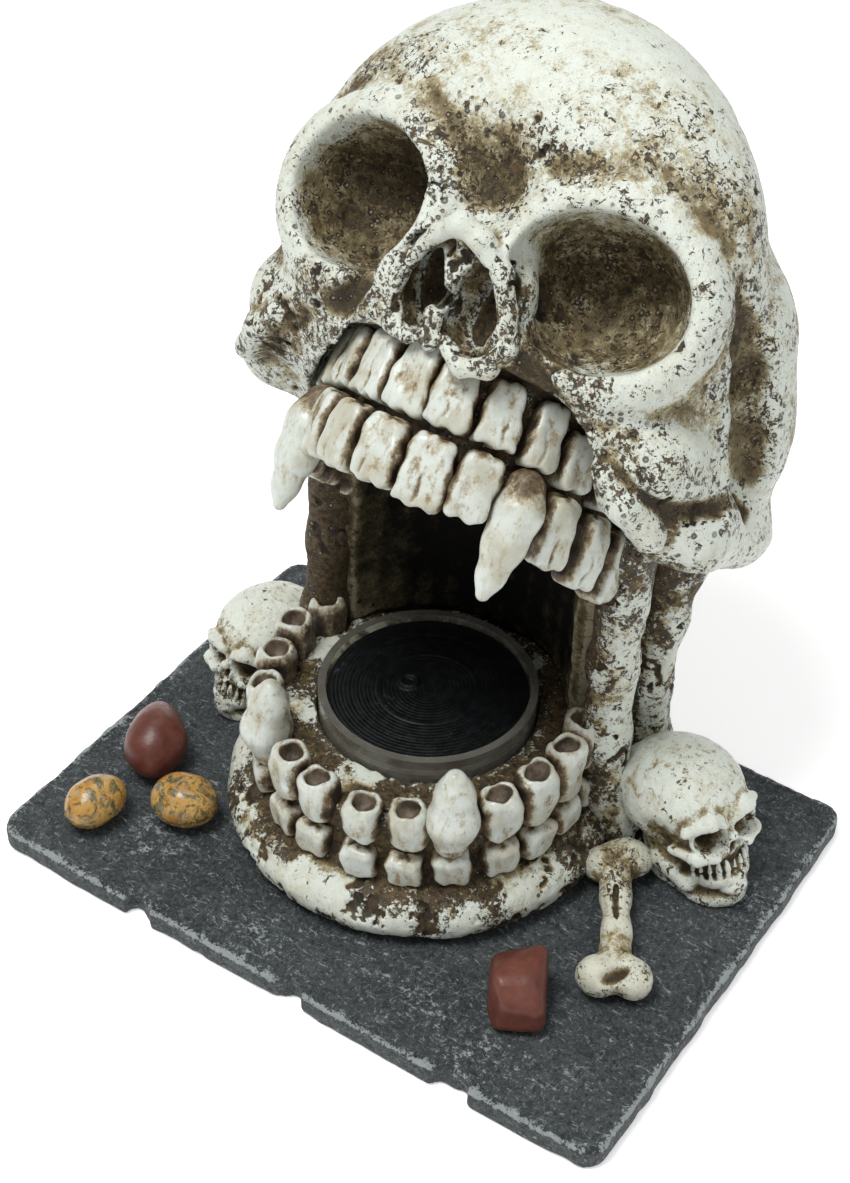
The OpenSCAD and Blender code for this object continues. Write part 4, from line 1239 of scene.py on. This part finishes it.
ledge = step(fbm(P3 + 50, 21, 3, 93).reshape(plan.shape), 0.10, 0.20)
chip = step(fbm(P3 + 90, 7, 3, 94).reshape(plan.shape), 0.28, 0.42)
h_top = F(8.0) - 0.35 * (1 - topn) - 0.28 * ledge - 0.35 * chip
f.D = smax(plan + np.zeros(f.n, F), np.maximum(Z - h_top, -Z) + np.zeros(f.n, F), 1.1).astype(F)
rough_field(f, 0.12, 2.6, 2, 95)
f.D = np.maximum(f.D, F(0.02) - Z)
p = carve(f, (1.2, 3.5), 300)
V = p.V
rimd = np.minimum(100 - np.abs(V[:, 0]), 73 - np.abs(V[:, 1]))
# tone: the two rim terms paint a highlight along the top edges, and the term below z=6 keeps the sides dark as painted
# shade; the blobs below are worn scuffs
tone = 0.26 * step(-rimd, -4.0, -1.5) * step(V[:, 2], 6.0, 7.2) + 0.30 * step(-rimd, -1.9, -1.0) * step(V[:, 2], 5.6, 6.6) - 0.6 * step(-V[:, 2], -6.0, -4.8)
for c in ((-60, -50), (-15, -62), (30, -55), (-90, -20), (85, 25), (60, -62)):
    tone += 0.30 * blob(V * np.array([1, 1, 0]), (c[0], c[1], 0), (14, 9, 1))
p.att["tone"] = tone.astype(F)
build("slate_slab", p, SLATE, nodes=("base_slab",))


# ------------------------------------------------------------------ small skulls beside the jaw
def small_skull(name, h, seed, c, rz, node, tip=0.0):
    f = Field((-0.62 * h, -0.70 * h, -0.34 * h), (0.62 * h, 0.72 * h, 1.12 * h), 0.42 * COARSE)
    st, ct = math.sin(math.radians(tip)), math.cos(math.radians(tip))
    if tip:
        f.add(ell((0, -0.16 * h, -0.06 * h), (0.27 * h, 0.30 * h, 0.20 * h)))
    f.add(ell((0, 0.06 * h, 0.66 * h), (0.44 * h, 0.53 * h, 0.37 * h)))
    f.add(ell((0, -0.20 * h, 0.40 * h), (0.30 * h, 0.27 * h, 0.26 * h)), 0.08 * h)
    f.add(ell((0, -0.24 * h, 0.15 * h), (0.25 * h, 0.27 * h, 0.17 * h)), 0.05 * h)
    f.add(cap((0, 0.08 * h, 0.0), (0, 0.06 * h, 0.45 * h), 0.31 * h), 0.08 * h)
    f.add(chain([(0.27 * h, 0.02 * h, 0.22 * h, 0.10 * h), (0.24 * h, -0.2 * h, 0.08 * h, 0.08 * h)]), 0.05 * h)
    f.add(chain([(-0.27 * h, 0.02 * h, 0.22 * h, 0.10 * h), (-0.24 * h, -0.2 * h, 0.08 * h, 0.08 * h)]), 0.05 * h)
    for s in (-1, 1):
        f.cut(ell((0.45 * s * h, -0.16 * h, 0.50 * h), (0.10 * h, 0.16 * h, 0.15 * h)), 0.07 * h)
        f.add(chain([(0.34 * s * h, -0.20 * h, 0.42 * h, 0.045 * h), (0.27 * s * h, -0.38 * h, 0.38 * h, 0.06 * h), (0.15 * s * h, -0.45 * h, 0.36 * h, 0.05 * h)]), 0.04 * h)
        f.add(chain([(0.32 * s * h, -0.34 * h, 0.60 * h, 0.05 * h), (0.17 * s * h, -0.45 * h, 0.665 * h, 0.065 * h), (0.03 * s * h, -0.47 * h, 0.60 * h, 0.05 * h)]), 0.05 * h)
        f.add(ring((0.17 * s * h, -0.40 * h, 0.52 * h), 0.125 * h, 0.115 * h, 0.028 * h, rot(0, 0, 16 * s), 0.04 * h), 0.02 * h)
        f.cut(ell((0.17 * s * h, -0.47 * h, 0.515 * h), (0.108 * h, 0.20 * h, 0.098 * h), rot(0, 0, 16 * s)), 0.012 * h)
    f.cut(ell((0, -0.53 * h, 0.60 * h), (0.05 * h, 0.06 * h, 0.06 * h)), 0.05 * h)
    f.add(chain([(0, -0.485 * h, 0.50 * h, 0.035 * h), (0.055 * h, -0.475 * h, 0.40 * h, 0.022 * h), (0, -0.48 * h, 0.335 * h, 0.025 * h),
                 (-0.055 * h, -0.475 * h, 0.40 * h, 0.022 * h), (0, -0.485 * h, 0.50 * h, 0.035 * h)]), 0.02 * h)
    f.cut(ell((0, -0.53 * h, 0.405 * h), (0.040 * h, 0.13 * h, 0.062 * h)), 0.01 * h)
    # groove between the rows of teeth, and the teeth
    f.cut(chain([(-0.26 * h, -0.20 * h, 0.205 * h, 0.02 * h), (-0.16 * h, -0.44 * h, 0.20 * h, 0.022 * h), (0, -0.51 * h, 0.20 * h, 0.022 * h),
                 (0.16 * h, -0.44 * h, 0.20 * h, 0.022 * h), (0.26 * h, -0.20 * h, 0.205 * h, 0.02 * h)]), 0.03 * h)
    rng = np.random.default_rng(seed)
    for k in range(-5, 6):
        a = math.radians(k * 15.5)
        x, y = 0.235 * h * math.sin(a), -0.22 * h - 0.245 * h * math.cos(a)
        w = 0.031 * h * (1 + 0.15 * rng.uniform(-1, 1))
        f.add(cap((x, y, 0.225 * h), (x * 0.98, y * 0.99, 0.292 * h), w * 1.1, w * 0.8), 0.007 * h)
        f.add(cap((x, y, 0.185 * h), (x * 0.99, y * 0.99, 0.115 * h), w * 1.05, w * 0.75), 0.007 * h)
    f.add(ell((0, -0.44 * h, 0.05 * h), (0.11 * h, 0.09 * h, 0.07 * h)), 0.05 * h)
    rough_field(f, 0.30, 6, 3, seed)
    rough_field(f, 0.20, 1.7, 2, seed + 1)
    f.keep(lambda X, Y, Z: F(0.03) + Y * F(st) - Z * F(ct) + 0 * X, 0.4)
    p = carve(f, (0.7, 2.0), 200)
    cc = scatter(p.V, None, 40, rng)
    pits(p, cc, rng.uniform(0.4, 0.7, 40), 0.6, 0.1)
    p.att["pit"] = (0.4 * p.att["pit"]).astype(F)
    P = p.V / h
    t = 0.9 * both(P, (0.17, -0.36, 0.52), (0.12, 0.14, 0.11)) + 0.8 * blob(P, (0, -0.46, 0.40), (0.06, 0.08, 0.08))
    t += 0.60 * blob(P, (0, -0.40, 0.2), (0.4, 0.3, 0.16)) + 0.5 * both(P, (0.36, -0.05, 0.38), (0.16, 0.25, 0.2)) + 0.30 * blob(P, (0, -0.3, 0.75), (0.4, 0.2, 0.1)) + 0.55 * step(-P[:, 2], -0.09, 0.0) + 0.4 * both(P, (0.40, -0.2, 0.48), (0.1, 0.16, 0.14))
    p.att["tone"] = t.astype(F)
    place(p, (0, 0, 0), 0, -tip)
    place(p, c, rz)
    return build(name, p, BONE_SMALL, nodes=(node,))


BONE_SMALL = bone_material("painted_bone_small", wash=1.1, specks=0.9, dots=0.0, fine_k=2.8, base=0.04, light=(0.72, 0.765, 0.695))
BONE_THIGH = bone_material("painted_bone_thigh", wash=1.1, specks=0.9, dots=0.0, fine_k=2.8, base=0.38, light=(0.68, 0.685, 0.575))
small_skull("small_skull_left", 35, 101, (-71, 15, 8), -8, "side_skull_left", 10)
small_skull("small_skull_right", 39, 103, (73, 28, 8), 70, "side_skull_right", 16)

# ------------------------------------------------------------------ thigh bone
f = Field((48, -36, -1), (92, 22, 15), 0.4 * COARSE)
f.add(chain([(57, 10, 6.4, 5.6), (63, 0, 5.8, 4.2), (69, -10, 5.6, 4.1), (74, -20, 5.6, 5.4)], 3))
f.add(ell((72.6, -26, 5.8), (6.6, 5.8, 6.4), rot(0, 0, 20)), 3)
f.add(ell((80.6, -21.4, 5.4), (5.8, 6.2, 6.0), rot(0, 0, 40)), 3)
f.add(ell((58.5, 13.5, 7.0), (8.0, 6.0, 6.4), rot(0, 0, 25)), 2.5)
f.add(ell((52.8, 8.0, 6.0), (5.0, 5.0, 5.2)), 2.5)
f.cut(ell((77.3, -26.5, 10.4), (1.3, 4.2, 3.0), rot(0, 0, -30)), 1.6)
f.cut(chain([(62.5, 0.5, 9.7, 0.45), (65.5, -5.2, 9.2, 0.6), (68.5, -9.6, 9.0, 0.3)], 0.4), 0.3)
rough_field(f, 0.28, 5, 3, 111)
rough_field(f, 0.12, 1.5, 2, 112)
f.keep(lambda X, Y, Z: F(0.03) - Z + 0 * X + 0 * Y, 0.4)
p = carve(f, (0.7, 2.0), 200)
rng = np.random.default_rng(6)
cc = scatter(p.V, None, 20, rng)
pits(p, cc, rng.uniform(0.4, 0.7, 20), 0.6, 0.1)
p.att["pit"] = (0.4 * p.att["pit"]).astype(F)
p.att["tone"] = (0.22 + 0.5 * step(-p.V[:, 2], -3, 0) + 0.3 * blob(p.V, (58, 12, 9), (7, 7, 7)) + 0.2 * step(fbm(p.V, 9, 2, 8), 0, 0.5)
                 + 0.2 * blob(p.V, (77.3, -26, 8), (2, 4, 3))).astype(F)
place(p, (0, 0, 8))
build("thigh_bone_cast", p, BONE_THIGH, nodes=("thigh_bone",))


# ------------------------------------------------------------------ stones
def stone(name, node, c, r, rz, seed, mat, lump=0.7, h=0.45, egg=0.0):
    m = max(r) + 2
    f = Field((-m, -m, -r[2] * 0.88 - 0.5), (m, m, r[2] + 1.5), h * COARSE)
    if egg:
        f.add(ell((-r[0] * 0.22, 0, 0), (r[0] * 0.78, r[1], r[2])))
        f.add(ell((r[0] * 0.40, r[1] * 0.10, -r[2] * 0.10), (r[0] * 0.58, r[1] * 0.70, r[2] * 0.78)), 5)
    else:
        f.add(ell((0, 0, 0), r))
    f.cut(ell((r[0] * 1.25, r[1] * 0.4, r[2] * 1.3), (r[0] * 0.75, r[1] * 0.8, r[2] * 0.75)), 2.5)
    f.cut(ell((-r[0] * 0.9, -r[1] * 1.25, r[2] * 0.9), (r[0] * 0.8, r[1] * 0.6, r[2] * 0.6)), 3)
    rough_field(f, lump, 9, 2, seed)
    rough_field(f, 0.05, 1.5, 2, seed + 1)
    f.keep(lambda X, Y, Z: F(-r[2] * 0.88 + 0.03) - Z + 0 * X + 0 * Y, 0.3)
    p = carve(f, (1.0, 2.5), 60)
    place(p, (c[0], c[1], 8 + r[2] * 0.88), rz)
    return build(name, p, mat, nodes=(node,))


stone("pebble_brown", "brown_pebble", (-78, -25), (14.5, 9.8, 10), 118, 121, BROWN, egg=1.0)
stone("pebble_ochre_left", "ochre_pebble_left", (-78, -54), (10.5, 8.2, 7.5), 80, 123, OCHRE)
stone("pebble_ochre_right", "ochre_pebble_right", (-56.5, -39.5), (10.5, 9, 8.5), 20, 125, ochre_stone_material("ochre_stone_gloss_b", 4.0))
f = Field((-15, -12, -1), (15, 12, 18), 0.45 * COARSE)
sl, X, Y, Z = f.all()
hx, hy = 12.0 - 0.12 * Z, 8.4 - 0.06 * Z
q1, q2, q3 = np.abs(X) - hx + 3.2, np.abs(Y) - hy + 3.2, np.abs(Z - 7.6) - 7.6 + 3.2
D = np.sqrt(np.maximum(q1, 0) ** 2 + np.maximum(q2, 0) ** 2 + np.maximum(q3, 0) ** 2) + np.minimum(np.maximum(np.maximum(q1, q2), q3), 0) - 3.2
for n_, d_ in (((0.62, 0.1, 0.78), 14.6), ((-0.55, -0.35, 0.76), 13.6), ((0.5, -0.8, 0.2), 10.4), ((-0.7, 0.7, 0.1), 12.4), ((0.2, 0.75, 0.62), 13.4)):
    D = smax(D, X * n_[0] + Y * n_[1] + Z * n_[2] - d_ + np.zeros(f.n, F), 1.6)
f.D = D.astype(F)
rough_field(f, 0.3, 6, 3, 131)
f.keep(lambda X, Y, Z: F(0.03) - Z + 0 * X + 0 * Y, 0.3)
p = carve(f, (1.0, 2.5), 60)
place(p, (57, -41.5, 8), -62)
build("stone_brown_block", p, BROWN, nodes=("brown_block_stone",))


# ------------------------------------------------------------------ membrane and clear plastic
def lathe(profile, n=192):
    P = np.array(profile, float)
    m = len(P)
    a = np.arange(n) * 2 * np.pi / n
    V = np.stack([P[None, :, 0] * np.cos(a)[:, None], P[None, :, 0] * np.sin(a)[:, None], np.broadcast_to(P[None, :, 1], (n, m))], -1).reshape(-1, 3)
    i = np.arange(n)[:, None]
    j = np.arange(m - 1)[None, :]
    k = (i + 1) % n
    Q = np.stack([i * m + j, k * m + j, k * m + j + 1, i * m + j + 1], -1).reshape(-1, 4)
    return Piece(V, Q)


R = 28.5
prof = [(0.05, 0.0), (R, 0.0), (R, 2.0), (R - 0.15, 2.3)]
rr = np.arange(R - 0.3, 0.2, -0.14)
for r_ in rr:
    amp = 0.045 * min(1.0, r_ / 6)
    z = 2.55 + 0.35 * (1 - (r_ / R) ** 2) + amp * math.cos(2 * math.pi * r_ / 1.12)
    z += 0.20 * math.exp(-((r_ - 14) / 0.6) ** 2) - 0.12 * math.exp(-((r_ - 21.5) / 0.5) ** 2)
    prof.append((r_, z))
prof.append((0.05, prof[-1][1]))
p = lathe(prof, 200)
# moulded nub beside the centre, with its dimple
d = np.hypot(p.V[:, 0] + 5.6, p.V[:, 1] + 1.3)
up_ = p.V[:, 2] > 2.1
lift = 1.15 * step(-d, -3.5, -2.6) - 1.0 * step(-d, -1.9, -1.2)
p.V[:, 2] += np.where(up_, lift, 0)
place(p, (-6.5, 10, 45.5))
build("rubber_membrane_disc", p, RUBBER, body="air_disc", nodes=("diffuser_membrane",))


def finish_node(node, mat):
    o = bpy.data.objects.get(node)
    if o is None:
        o = next(x for x in bpy.data.objects if x.name.split(".")[0] == node)
    for k in range(len(o.material_slots)):
        o.material_slots[k].material = mat
    if not o.material_slots:
        o.data.materials.append(mat)


for node in ("diffuser_cup", "membrane_clamp", "air_nipple"):
    finish_node(node, CLEAR)
finish_node("support_plate", PLATE)
